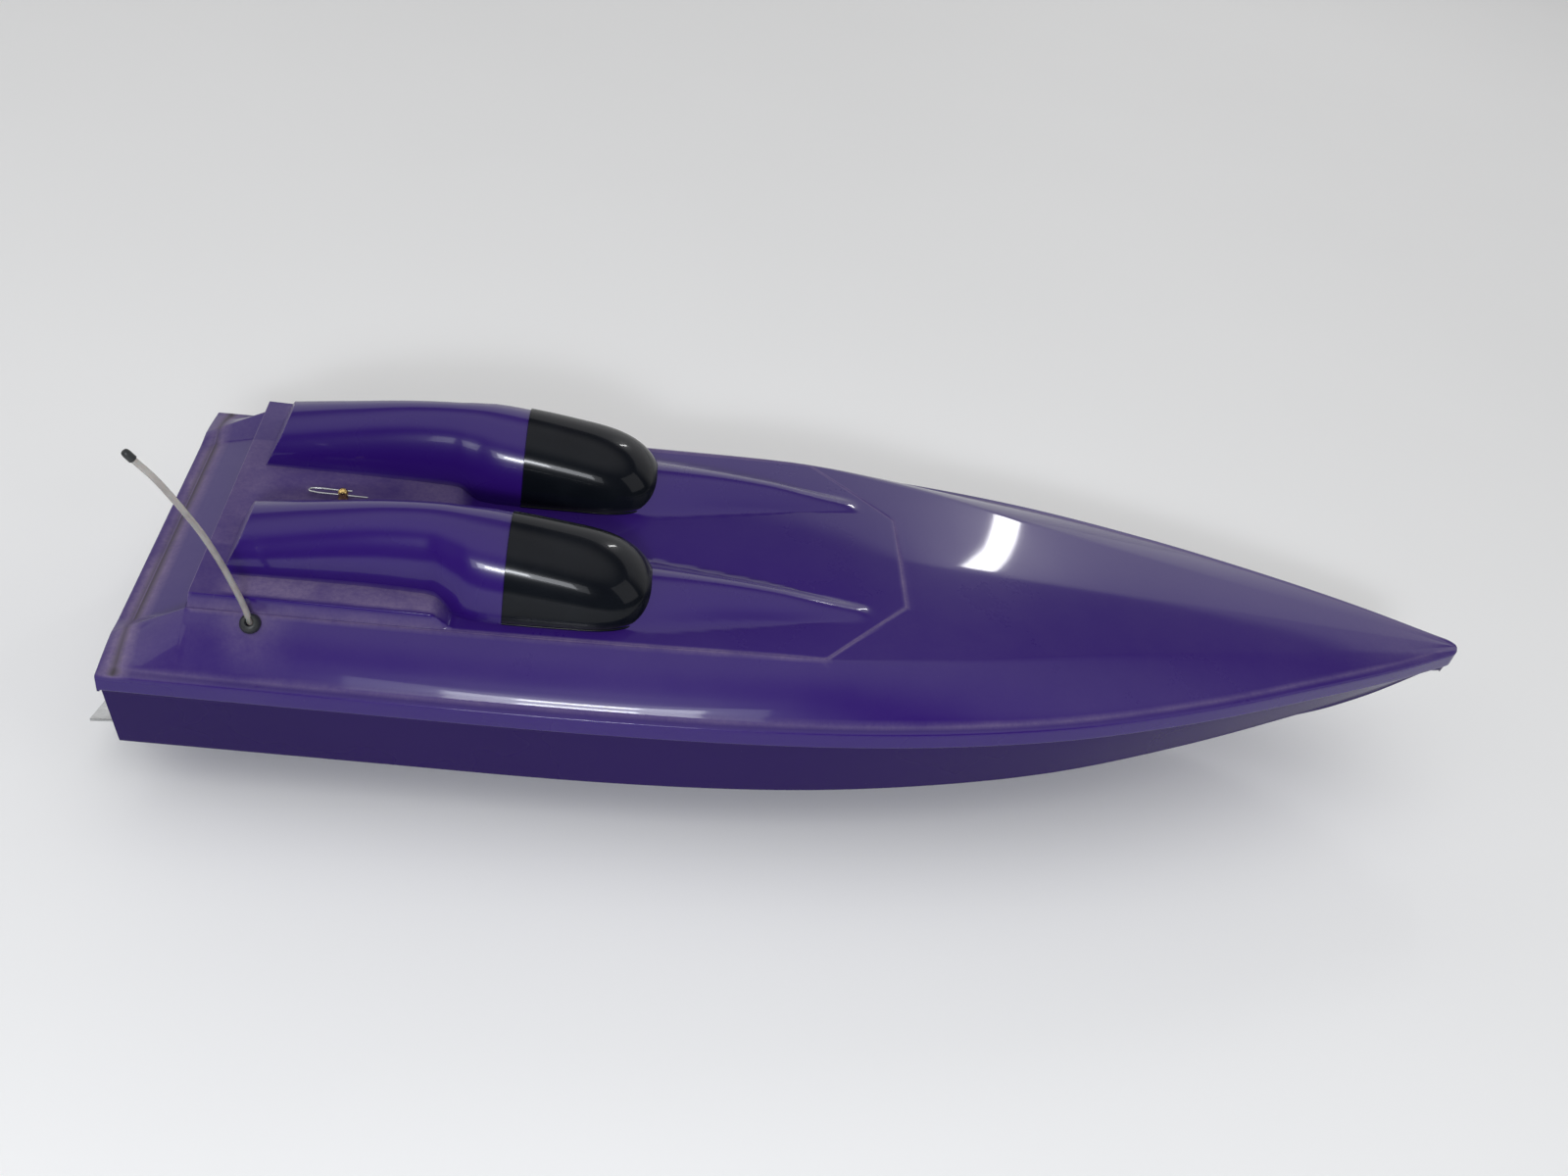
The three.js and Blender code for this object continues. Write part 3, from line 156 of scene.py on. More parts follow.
chine_half = fair(
    [0, 110], [120, 112], [240, 113.8], [340, 111.5], [420, 104],
    [500, 90], [580, 67], [650, 43], [710, 21.5], [752, 5.5],
)
chine_top = fair(
    [0, 34], [240, 35.5], [340, 38], [420, 42], [500, 47.5], [580, 54.5], [650, 62], [710, 71], [752, 81],
)
keel_sweep = fair([380, 0], [440, 0.8], [500, 4], [580, 13], [650, 27], [710, 48], [752, 74])
pod_middle = fair([POD_AFT, 46], [150, 46], [172, 48], [SCREEN_TIP, 48])
pod_half = fair([POD_AFT, 22.5], [150, 23], [172, 29.5], [SCREEN_AFT, 30.7], [NOSE_START, 30.7])
pod_top = fair(
    [POD_AFT, 55], [89, 62], [126, 68], [158, 70],
    [SCREEN_AFT, 67.4], [223, 62.5], [245, 58], [SCREEN_TIP, 53],
)
fairing_half = fair([240, 28], [264, 27], [304, 20], [340, 14], [372, 8], [390, 6])
fairing_top = fair([240, 40.5], [264, 41.5], [304, 41], [336, 38.5], [365, 34], [390, 30.6])


def keel(x):
    return np.maximum(keel_sweep(x), 0)


def half_beam(x):
    if x < BOW_TANGENT:
        return float(side_beam(x))
    return math.sqrt(max(BOW_RADIUS**2 - (x - LENGTH + BOW_RADIUS) ** 2, 0))


def smooth_step(start, end, x):
    t = np.clip((x - start) / (end - start), 0, 1)
    return t * t * (3 - 2 * t)


def soft_max(a, b, reach):
    """The larger of two heights, with a fillet where they cross."""
    h = np.clip(reach - np.abs(a - b), 0, None) / reach
    return np.maximum(a, b) + h * h * reach / 4


def clustered(start, end, count, lean_start=True, lean_end=True):
    """Steps from start to end, closer together at the ends that lean."""
    t = np.linspace(0, 1, count)
    if lean_start and lean_end:
        t = (1 - np.cos(math.pi * t)) / 2
    elif lean_start:
        t = 1 - np.cos(math.pi * t / 2)
    elif lean_end:
        t = np.sin(math.pi * t / 2)
    return start + (end - start) * t


# ---- meshes
def to_metres(points):
    """Lines-plan millimetres to the frame's metres."""
    p = np.asarray(points, float).reshape(-1, 3)
    return (p - [ORIGIN_X, 0, 0]) * MM


def linked(name, data):
    obj = bpy.data.objects.new(name, data)
    bpy.context.scene.collection.objects.link(obj)
    return obj


def make_object(name, verts, faces):
    mesh = bpy.data.meshes.new(name)
    mesh.from_pydata([tuple(v) for v in verts], [], faces)
    mesh.validate()
    return linked(name, mesh)


def grid_faces(rows, columns, start=0, keep=None, closed=False):
    """Quads of a grid of points, row by row; keep(i, j) says which to make."""
    faces = []
    for i in range(rows - 1):
        for j in range(columns if closed else columns - 1):
            if keep is not None and not keep(i, j):
                continue
            k = (j + 1) % columns
            a, b = start + i * columns, start + (i + 1) * columns
            faces.append((a + j, b + j, b + k, a + k))
    return faces


def block_edge(columns, rows, across):
    """The points round a block of a grid, from its end rows and end columns."""
    (first, last), (left, right) = rows, across
    loop = [i * columns + left for i in range(first, last + 1)]
    loop += [last * columns + j for j in range(left + 1, right + 1)]
    loop += [i * columns + right for i in range(last - 1, first - 1, -1)]
    return loop + [first * columns + j for j in range(right - 1, left, -1)]


def band_faces(upper, lower, backward=False):
    """Quads between two loops of as many points."""
    faces = []
    for i in range(len(upper)):
        a, b = i, (i + 1) % len(upper)
        if backward:
            a, b = b, a
        faces.append((upper[a], upper[b], lower[b], lower[a]))
    return faces


def add_rings(verts, faces, loop, steps, moved, backward=False):
    """Hangs rings of faces on a loop; a step is how far over and how far down."""
    previous = loop
    for over, down in steps:
        ring = []
        for k in loop:
            x, y, z = verts[k]
            ring.append(len(verts))
            verts.append(np.array([*moved(x, y, over), z - down]))
        faces += band_faces(previous, ring, backward)
        previous = ring


def vertex_rows(mesh, field):
    """The mesh's points or normals, one row for each."""
    values = np.empty(len(mesh.vertices) * 3)
    mesh.vertices.foreach_get(field, values)
    return values.reshape(-1, 3)


def round_angles(sides):
    return np.linspace(0, 2 * math.pi, sides, endpoint=False)


def apply_modifiers(obj):
    graph = bpy.context.evaluated_depsgraph_get()
    mesh = bpy.data.meshes.new_from_object(obj.evaluated_get(graph))
    obj.modifiers.clear()
    obj.data = mesh
    return obj


def clean(obj, distance=WELD, closed=True):
    """Merges doubled points, drops faces with no area and turns a closed solid's faces outward."""
    edit = bmesh.new()
    edit.from_mesh(obj.data)
    bmesh.ops.remove_doubles(edit, verts=edit.verts, dist=distance)
    bmesh.ops.dissolve_degenerate(edit, dist=distance, edges=edit.edges)
    if closed:
        bmesh.ops.recalc_face_normals(edit, faces=edit.faces)
    edit.to_mesh(obj.data)
    edit.free()
    return obj


def smooth(obj, degrees=SHELL_SHARP):
    obj.data.shade_smooth()
    obj.data.set_sharp_from_angle(angle=math.radians(degrees))
    return obj


def walled_sheet(name, verts, faces, thickness):
    """A sheet turned to face up, with a wall inward from its face."""
    obj = clean(make_object(name, to_metres(verts), faces), SHEET_WELD, False)
    if sum(face.normal.z * face.area for face in obj.data.polygons) < 0:
        obj.data.flip_normals()
    wall = obj.modifiers.new("wall", "SOLIDIFY")
    wall.thickness = thickness * MM
    wall.offset = -1
    return apply_modifiers(obj)


BEVEL_ABOVE = 28  # degrees; flatter corners get no bevel


def bevelled(obj, width):
    edge = obj.modifiers.new("edge", "BEVEL")
    edge.width = width * MM
    edge.segments = 2
    edge.limit_method = "ANGLE"
    edge.angle_limit = math.radians(BEVEL_ABOVE)
    return apply_modifiers(obj)


def cut(obj, *tools):
    for tool in tools:
        step = obj.modifiers.new("cut", "BOOLEAN")
        step.operation = "DIFFERENCE"
        step.solver = "EXACT"
        step.object = tool
    apply_modifiers(obj)
    for tool in tools:
        bpy.data.objects.remove(tool)
    return obj


def loft(name, rings):
    """A closed solid through rings of points, in lines-plan millimetres."""
    rings = np.asarray(rings, float)
    count, size = rings.shape[:2]
    faces = grid_faces(count, size, closed=True)
    faces.append(tuple(range(size)))
    faces.append(tuple(range((count - 1) * size, count * size))[::-1])
    return clean(make_object(name, to_metres(rings), faces))


def finish_piece(obj, body, slot, material, *nodes):
    obj.data.materials.clear()
    obj.data.materials.append(material)
    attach(obj, body)
    if nodes:
        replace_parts(obj, *nodes)
    return obj


# ---- materials
def set_range(node, *limits):
    """The limits are the lowest and highest value in, then the values out at those two."""
    for key, number in zip(("From Min", "From Max", "To Min", "To Max"), limits):
        node.inputs[key].default_value = number
    return node.outputs["Result"]


class Shader:
    """A node material built up step by step."""

    def __init__(self, name):
        self.material = bpy.data.materials.new(name)
        self.material.use_nodes = True
        self.nodes = self.material.node_tree.nodes
        self.links = self.material.node_tree.links
        self.surface = self.nodes["Principled BSDF"]
        self.place = self.add("ShaderNodeTexCoord").outputs["Object"]

    def add(self, kind, **inputs):
        node = self.nodes.new(kind)
        for key, value in inputs.items():
            self.feed(node.inputs[key.replace("_", " ")], value)
        return node

    def feed(self, socket, value):
        if isinstance(value, bpy.types.NodeSocket):
            self.links.new(value, socket)
        else:
            socket.default_value = value

    def set(self, **inputs):
        for key, value in inputs.items():
            self.feed(self.surface.inputs[key.replace("_", " ")], value)

    def stretched(self, x, y, z):
        return self.add("ShaderNodeMapping", Vector=self.place, Scale=(x, y, z)).outputs["Vector"]

    def noise(self, scale, detail=3.0, roughness=0.5, place=None):
        node = self.add("ShaderNodeTexNoise", Scale=scale, Detail=detail, Roughness=roughness)
        self.feed(node.inputs["Vector"], place or self.place)
        return node.outputs["Fac"]

    def cells(self, scale):
        return self.add("ShaderNodeTexVoronoi", Scale=scale, Vector=self.place).outputs["Distance"]

    def ramp(self, value, low, high, start=0.0, end=1.0):
        return set_range(self.add("ShaderNodeMapRange", Value=value), low, high, start, end)

    def math(self, operation, a, b=0.0):
        node = self.add("ShaderNodeMath")
        node.operation = operation
        self.feed(node.inputs[0], a)
        self.feed(node.inputs[1], b)
        return node.outputs[0]

    def times(self, a, b):
        return self.math("MULTIPLY", a, b)

    def mix(self, share, a, b):
        node = self.add("ShaderNodeMix")
        node.data_type = "RGBA"
        for key, value in zip((0, 6, 7), (share, a, b)):
            self.feed(node.inputs[key], (*value, 1) if isinstance(value, tuple) else value)
        return node.outputs[2]

    def bump(self, height, strength, distance):
        node = self.add("ShaderNodeBump", Strength=strength, Distance=distance, Height=height)
        self.set(Normal=node.outputs["Normal"])

    def attribute(self, name):
        node = self.add("ShaderNodeAttribute")
        node.attribute_name = name
        return node.outputs["Fac"]


# The light film colour is dust, and it also paints the highlight lines along the hatch's edge.
DUST_FILM_AND_HIGHLIGHT = (0.22, 0.172, 0.28)  # a light film over the purple
DUST_THICK = (0.075, 0.067, 0.062)  # settled grime
DUST_MOST = 0.88  # dust never hides more of the finish than this
DUST_ROUGHENS = 0.5
DRIFT_SCALE, GRAIN_SCALE, LINT_SCALE, LINT_PATCH_SCALE = 34, 420, 120, 9


def dusted_and_highlighted(s, colour, gloss, coat, specular, amount=1.6):
    """Mixes a gloss finish with a dust film where the mesh's dust attribute asks for it, and sparse specks;
    the same film paints the highlight lines along the hatch's edge.
    """
    asked = s.attribute("dust")
    drifts = s.ramp(s.noise(DRIFT_SCALE, 5, 0.62), 0.3, 0.72, 0.55, 1.3)
    grains = s.ramp(s.noise(GRAIN_SCALE, 4, 0.7), 0.3, 0.7, 0.7, 1.08)
    film = s.times(s.times(asked, drifts), s.times(grains, amount))
    lint = s.ramp(s.cells(LINT_SCALE), 0.0, 0.04, 1, 0)
    lint = s.times(lint, s.ramp(s.noise(LINT_PATCH_SCALE, 2), 0.52, 0.66, 0, 0.5))
    share = s.math("MINIMUM", s.math("MAXIMUM", film, lint), DUST_MOST)
    dust = s.mix(s.ramp(asked, 0.5, 0.84), DUST_FILM_AND_HIGHLIGHT, DUST_THICK)
    s.set(Base_Color=s.mix(share, colour, dust))
    s.set(Roughness=s.math("ADD", gloss, s.times(share, DUST_ROUGHENS)))
    bare = s.math("SUBTRACT", 1, share)
    s.set(Coat_Weight=s.times(bare, coat))
    s.set(Specular_IOR_Level=s.times(bare, specular))


def purple_gloss(name, specular, coat, deep, light):
    """Moulded-in purple with a hazy sheen under a clear gloss."""
    s = Shader(name)
    colour = s.mix(s.ramp(s.noise(4, 2), 0.3, 0.7), deep, light)
    haze = s.ramp(s.noise(11, 3, 0.5), 0.3, 0.75, 0.25, 0.31)
    dusted_and_highlighted(s, colour, haze, coat, specular)
    s.set(Coat_Roughness=0.05, Coat_IOR=1.5)
    s.bump(s.noise(55, 2), 0.06, 0.0003)
    return s.material


def black_gloss():
    s = Shader("black_gloss")
    colour = s.mix(s.ramp(s.noise(40, 3), 0.35, 0.7), (0.0035, 0.0048, 0.007), (0.006, 0.0078, 0.0105))
    dusted_and_highlighted(s, colour, s.ramp(s.noise(30, 4), 0.35, 0.8, 0.2, 0.28), 0.24, 0.05, 0.35)
    s.set(Coat_Roughness=0.04)
    s.bump(s.noise(60, 2), 0.05, 0.0003)
    return s.material


def metal(name, light, dark, roughness):
    """A machined or drawn metal, with grain along X and tarnish in patches."""
    s = Shader(name)
    brushed = s.noise(60, 4, 0.7, place=s.stretched(1, 30, 30))
    tarnish = s.ramp(s.noise(70, 5, 0.65), 0.4, 0.75)
    s.set(Base_Color=s.mix(tarnish, light, dark), Metallic=1.0)
    s.set(Roughness=s.math("ADD", s.ramp(brushed, 0.3, 0.7, roughness * 0.7, roughness * 1.3),
                           s.times(tarnish, 0.12)))
    s.bump(brushed, 0.12, 0.0002)
    return s.material


def plastic(name, light, dark, roughness, texture=1800, depth=0.12):
    """Moulded plastic or rubber with a fine texture and handling marks."""
    s = Shader(name)
    rubbed = s.ramp(s.noise(45, 4, 0.6), 0.4, 0.72)
    s.set(Base_Color=s.mix(rubbed, dark, light))
    s.set(Roughness=s.ramp(s.noise(80, 3), 0.3, 0.7, roughness * 0.85, roughness * 1.12))
    s.bump(s.noise(texture, 3, 0.6), depth, 0.0002)
    return s.material


PLY_THICKNESS = 0.0022  # one pair of veneers, in metres


def plywood():
    s = Shader("plywood")
    grain = s.noise(14, 6, 0.7, place=s.stretched(1, 14, 14))
    fine = s.noise(90, 4, 0.7, place=s.stretched(1, 22, 22))
    face = s.mix(s.ramp(grain, 0.35, 0.68), (0.47, 0.3, 0.145), (0.62, 0.43, 0.235))
    face = s.mix(s.times(s.ramp(fine, 0.5, 0.75), 0.45), face, (0.27, 0.155, 0.07))
    height = s.add("ShaderNodeSeparateXYZ", Vector=s.place).outputs["Z"]
    layer = s.math("FRACT", s.times(height, 1 / PLY_THICKNESS))
    veneer = s.math("GREATER_THAN", layer, 0.55)
    facing = s.add("ShaderNodeNewGeometry").outputs["Normal"]
    up = s.add("ShaderNodeSeparateXYZ", Vector=facing).outputs["Z"]
    edge = s.math("LESS_THAN", s.math("ABSOLUTE", up), 0.6)
    share = s.times(s.times(veneer, edge), 0.55)
    s.set(Base_Color=s.mix(share, face, (0.2, 0.115, 0.055)), Roughness=0.68)
    s.bump(fine, 0.2, 0.0003)
    return s.material


def battery_film():
    s = Shader("battery_film")
    crease = s.noise(38, 4, 0.6, place=s.stretched(1, 0.35, 0.35))
    colour = s.mix(s.ramp(crease, 0.3, 0.7), (0.014, 0.075, 0.27), (0.022, 0.115, 0.38))
    s.set(Base_Color=colour, Roughness=s.ramp(crease, 0.3, 0.7, 0.2, 0.38), Coat_Weight=0.4)
    s.bump(crease, 0.35, 0.0012)
    return s.material


def woven(name, light, dark, pitch):
    """Narrow woven tape: two crossed sets of threads."""
    s = Shader(name)
    parts = s.add("ShaderNodeSeparateXYZ", Vector=s.place).outputs
    waves = [s.math("ABSOLUTE", s.math("SINE", s.times(parts[k], math.pi / pitch))) for k in "XYZ"]
    weave = s.times(waves[0], s.math("MAXIMUM", waves[1], waves[2]))
    fuzz = s.noise(2600, 3)
    thread = s.math("ADD", s.times(weave, 0.7), s.times(fuzz, 0.3))
    s.set(Base_Color=s.mix(thread, dark, light), Roughness=0.93, Sheen_Weight=0.25, Sheen_Roughness=0.5)
    s.bump(thread, 0.5, 0.0005)
    return s.material


def clear_tube(name, colour, transmission, roughness):
    s = Shader(name)
    cloud = s.ramp(s.noise(60, 4, 0.6), 0.35, 0.7)
    faded = tuple(c * 0.72 for c in colour)
    s.set(Base_Color=s.mix(cloud, colour, faded), Transmission_Weight=transmission, IOR=1.47)
    s.set(Roughness=s.ramp(s.noise(90, 3), 0.3, 0.7, roughness * 0.7, roughness * 1.3))
    s.set(Subsurface_Weight=0.15, Subsurface_Scale=0.002)
    s.bump(s.noise(700, 3), 0.05, 0.0002)
    return s.material


def foam_material():
    s = Shader("foam")
    bubbles = s.cells(520)
    patch = s.noise(30, 4)
    colour = s.mix(s.ramp(bubbles, 0.1, 0.75), (0.5, 0.47, 0.41), (0.84, 0.82, 0.77))
    s.set(Base_Color=s.mix(s.times(s.ramp(patch, 0.5, 0.8), 0.3), colour, (0.6, 0.54, 0.42)))
    s.set(Roughness=0.9, Subsurface_Weight=0.08, Subsurface_Scale=0.003)
    s.bump(bubbles, 0.5, 0.0012)
    return s.material


PURPLE = purple_gloss("purple_gloss", 0.17, 0.46, (0.0225, 0.0045, 0.13), (0.027, 0.0055, 0.146))
# The hull gets a darker copy of the same purple with little coat: painted shade on the hull's sides.
PURPLE_HULL_SHADED = purple_gloss("purple_gloss_hull_shaded", 0.12, 0.05, (0.0145, 0.003, 0.074), (0.0175, 0.0036, 0.084))
BLACK_GLOSS = black_gloss()
MATERIALS = {
    "hull_purple": PURPLE,
    "windshield_black": BLACK_GLOSS,
    "brass": metal("brass", (0.72, 0.5, 0.19), (0.36, 0.23, 0.085), 0.24),
    "steel": metal("steel", (0.62, 0.63, 0.64), (0.38, 0.38, 0.38), 0.24),
    "aluminium": metal("aluminium", (0.78, 0.79, 0.8), (0.55, 0.56, 0.58), 0.32),
    "anodised_blue": metal("anodised_blue", (0.03, 0.09, 0.42), (0.02, 0.06, 0.3), 0.28),
    "black_plastic": plastic("black_plastic", (0.03, 0.031, 0.034), (0.014, 0.0145, 0.016), 0.5),
    "grey_plastic": plastic("grey_plastic", (0.2, 0.205, 0.215), (0.14, 0.144, 0.15), 0.52),
    "plywood": plywood(),
    "battery_wrap": battery_film(),
    "strap_fabric": woven("strap_fabric", (0.05, 0.05, 0.055), (0.008, 0.008, 0.009), 0.0012),
    "black_rubber": plastic("black_rubber", (0.026, 0.029, 0.03), (0.011, 0.013, 0.014), 0.42, 900, 0.08),
    "lead_red": plastic("lead_red", (0.52, 0.02, 0.018), (0.36, 0.012, 0.011), 0.42, 700, 0.05),
    "silicone": clear_tube("silicone", (0.78, 0.8, 0.8), 0.35, 0.35),
    "clear_nylon": clear_tube("clear_nylon", (0.56, 0.53, 0.5), 0.5, 0.18),
    "foam": foam_material(),
}


# ---- deck
def shoulder_height(x):
    foot = SHEER + RAMP_FOOT
    return np.where(x >= HATCH_AFT, shoulder_top(x), foot + (shoulder_top(HATCH_AFT) - foot) * x / HATCH_AFT)


def crown_share(x, t):
    """How much of the crown is left at share t of the way out; ahead of the hatch it is a ridge."""
    ridge = smooth_step(372, 440, x)
    soft = (np.sqrt(t * t + 0.0001) - 0.01) / (math.sqrt(1.0001) - 0.01)
    return 1 - ((1 - ridge) * t**2 + ridge * soft**1.3)


def deck_surface(x, y):
    """The deck's upper face between its shoulders, carried across the hatch."""
    t = np.clip(np.abs(y) / np.maximum(shoulder_half(x), 0.01), 0, 1)
    return shoulder_top(x) + (deck_centre(x) - shoulder_top(x)) * crown_share(x, t)


def rounded(points, radii, steps=5, between=3):
    """A line through points whose corners are rounded; it has the same count whatever its size."""
    line = [np.asarray(points[0], float)]
    for i in range(1, len(points)):
        here = np.asarray(points[i], float)
        if i == len(points) - 1 or not radii[i]:
            ends = [here]
        else:
            back = np.asarray(points[i - 1], float) - here
            ahead = np.asarray(points[i + 1], float) - here
            lengths = [max(float(np.hypot(*v)), 1e-6) for v in (back, ahead)]
            r = min(radii[i], 0.45 * lengths[0], 0.45 * lengths[1])
            a, b = here + back * r / lengths[0], here + ahead * r / lengths[1]
            ends = [(1 - t) ** 2 * a + 2 * t * (1 - t) * here + t * t * b for t in np.linspace(0, 1, steps)]
        start = line[-1]
        line += [start + (ends[0] - start) * k / (between + 1) for k in range(1, between + 1)]
        line += ends
    return line


SIDE_STEPS = np.linspace(0, 1, 13)[1:]
SIDE_START = 0.2  # share of the side's curve that the line's straight foot stands for


def deck_side(x):
    """Deck section from the lip's foot to the shoulder, as [y, z]."""
    beam = max(half_beam(x), 0.8)
    top = float(lip_top(x))
    flange = max(beam - min(FLANGE, beam / 3), 0.6)
    foot = top + 0.6
    shoulder = min(float(shoulder_half(x)), flange * 0.92)
    height = float(shoulder_height(x))
    run, rise = flange - shoulder, height - foot
    tuck = min(1.2, beam * 0.2)
    low = top - LIP_HEIGHT
    line = rounded(
        [[beam - tuck, low], [beam, low + 0.9], [beam, top], [flange, foot],
         [flange - run * 0.12, foot + rise * 0.18]],
        [0, 0.9, 1.5, 1.2, 0],
    )
    bend = [np.array(p) for p in (
        [flange, foot],
        [flange - run * 0.183, foot + rise * 0.2735],
        [flange - run * 0.592, foot + rise * 0.772],
        [shoulder, height],
    )]
    for s in SIDE_STEPS:
        t = SIDE_START + (1 - SIDE_START) * s
        weights = [(1 - t) ** 3, 3 * t * (1 - t) ** 2, 3 * t * t * (1 - t), t**3]
        line.append(sum(w * p for w, p in zip(weights, bend)))
    return line[:-len(SIDE_STEPS) - 1] + line[-len(SIDE_STEPS):]


def hatch_half(x, grow=0.0):
    t = np.clip((x - HATCH_SHOULDER) / (HATCH_FRONT - HATCH_SHOULDER), 0, 1)
    return HATCH_HALF + grow + (HATCH_NOSE_HALF - HATCH_HALF) * t


def tray_height(x):
    """The aft rim and tray between the side ramps."""
    t = np.clip((x - RIM) / (HATCH_AFT - RIM), 0, 1)
    tray = RAMP_FOOT + (TRAY_TOP - RAMP_FOOT) * t
    return SHEER + RIM_RISE + (tray - RIM_RISE) * smooth_step(RIM - 0.6, RIM + 0.6, x)


TRAY_HALF = 76.5
TRAY_BORDER = 8
INNER_COLUMNS = 42
EDGE_COLUMN = 14  # counted from the shoulder: the hatch's edge


def deck_inner(x, wall=False):
    """Deck section from the shoulder to the centreline."""
    shoulder = min(float(shoulder_half(x)), max(half_beam(x), 0.8) * 0.9)
    if x < HATCH_AFT and not wall:
        height = float(shoulder_height(x))
        floor = min(float(tray_height(x)), height)
        level = TRAY_HALF - TRAY_BORDER
        corners = [[shoulder, height], [shoulder - 0.6, height - 0.1], [TRAY_HALF, floor], [level, floor]]
        line = rounded(corners, [0, 0.6, 1.6, 0])[1:]
        ys = np.linspace(level, 0, INNER_COLUMNS - len(line) + 1)[1:]
        return line + [np.array([y, floor]) for y in ys]
    edge = float(hatch_half(x, HATCH_GAP))
    if x > HATCH_FRONT:
        edge = shoulder * HATCH_NOSE_HALF / float(shoulder_half(HATCH_FRONT))
    edge = min(edge, shoulder - 0.02)
    outer = np.linspace(shoulder, edge, EDGE_COLUMN + 1)[1:]
    inner = np.linspace(edge, 0, INNER_COLUMNS - EDGE_COLUMN + 1)[1:]
    ys = np.concatenate([outer, inner])
    return [np.array([y, float(deck_surface(x, y))]) for y in ys]


AFT_STATIONS = (
    0.3, 0.5, 0.9, 1.6, 3, 5, 6.4, 6.9, 7.2, 7.5, 7.8, 8.1,
    8.6, 10, 13, 17, 21, 25, 29, 33, 35.5, 36.8, 37.3,
)
TRAY_LAST, TRAY_SECTION = 37.5, 37.45  # where the tray's last row stands, and whose section it has
LEDGE = (  # how far in and down the rings of the hatchway's edge, wall and ledge lie
    (0.05, 0.12), (0.2, 0.45), (0.25, 2.4), (0.6, 2.9), (8.0, 3.1), (8.6, 3.6), (8.6, 5.0),
)
LIP_FOOT_X = 0.15
LIP_REACH = 14


def kept_to_lip(obj):
    """Draws in what the wall's thickness pushes past the transom, the bow tip or the lip's lower edge."""
    place = vertex_rows(obj.data, "co")
    place[:, 0] = np.clip(place[:, 0], -ORIGIN_X * MM, (LENGTH - ORIGIN_X) * MM)
    lowest = (lip_top(place[:, 0] / MM + ORIGIN_X) - LIP_HEIGHT) * MM
    place[:, 2] = np.maximum(place[:, 2], lowest)
    obj.data.vertices.foreach_set("co", place.ravel())
    obj.data.update()
    return obj


def build_deck():
    hatch = np.concatenate([
        np.linspace(HATCH_AFT - HATCH_GAP, HATCH_SHOULDER, 110),
        np.linspace(HATCH_SHOULDER, HATCH_FRONT + HATCH_GAP, 26)[1:],
    ])
    fore = np.concatenate([
        np.linspace(HATCH_FRONT + 2.5, 740, 120), np.linspace(743, 760.5, 14), [761.2, 761.7, LENGTH - 0.04],
    ])
    rows = [deck_side(x) + deck_inner(x) for x in AFT_STATIONS]
    rows.append(deck_side(AFT_STATIONS[-1]) + deck_inner(TRAY_SECTION))
    first_hatch = len(rows)
    rows += [deck_side(x) + deck_inner(x, wall=True) for x in hatch]
    last_hatch = len(rows) - 1
    rows += [deck_side(x) + deck_inner(x) for x in fore]
    stations = np.concatenate([AFT_STATIONS, [TRAY_LAST], hatch, fore])
    half = np.array(rows)
    count = half.shape[1]
    port = np.dstack([np.repeat(stations[:, None], count, 1), half[:, :, 0], half[:, :, 1]])
    starboard = port[:, :-1][:, ::-1] * [1, -1, 1]
    grid = np.concatenate([port, starboard], axis=1)
    grid[0, :, 2] -= 0.35
    grid[1, :, 2] -= 0.12
    columns = grid.shape[1]
    edge = count - INNER_COLUMNS + EDGE_COLUMN - 1
    opening = (edge, columns - 1 - edge)

    def keep(i, j):
        return not (first_hatch <= i < last_hatch and opening[0] <= j < opening[1])

    verts = list(grid.reshape(-1, 3))
    faces = grid_faces(len(stations), columns, keep=keep)

    def drawn_in(x, y, inward):
        x = min(max(x, HATCH_AFT + inward), HATCH_FRONT - inward)
        return x, math.copysign(min(abs(y), float(hatch_half(x, -inward * 1.02))), y)

    add_rings(verts, faces, block_edge(columns, (first_hatch, last_hatch), opening), LEDGE, drawn_in)
    # the transom end of the deck: its lip runs across, under the aft rim
    foot = len(verts)
    for x, y, z in grid[0]:
        verts.append(np.array([LIP_FOOT_X, y, min(z, max(SHEER - LIP_HEIGHT, z - LIP_REACH))]))
    for j in range(columns - 1):
        if np.linalg.norm(verts[foot + j] - verts[foot + j + 1]) > WELD:
            faces.append((j, j + 1, foot + j + 1, foot + j))
    return kept_to_lip(walled_sheet("deck", verts, faces, DECK_SKIN))


def set_dust_and_highlight(obj, rule):
    """Writes the dust attribute, which also carries the painted highlight lines along the hatch's edge, from
    a rule of lines-plan x, y and z and the face-up share.
    """
    x, y, z = (vertex_rows(obj.data, "co") / MM + [ORIGIN_X, 0, 0]).T
    value = rule(x, y, z, vertex_rows(obj.data, "normal")[:, 2])
    layer = obj.data.attributes.new("dust", "FLOAT", "POINT")
    layer.data.foreach_set("value", np.clip(value, 0, 1).astype(np.float32))
    return obj


def band(value, middle, reach):
    return np.clip(1 - np.abs(value - middle) / reach, 0, 1)


TUBE_DUST_REACH = 16


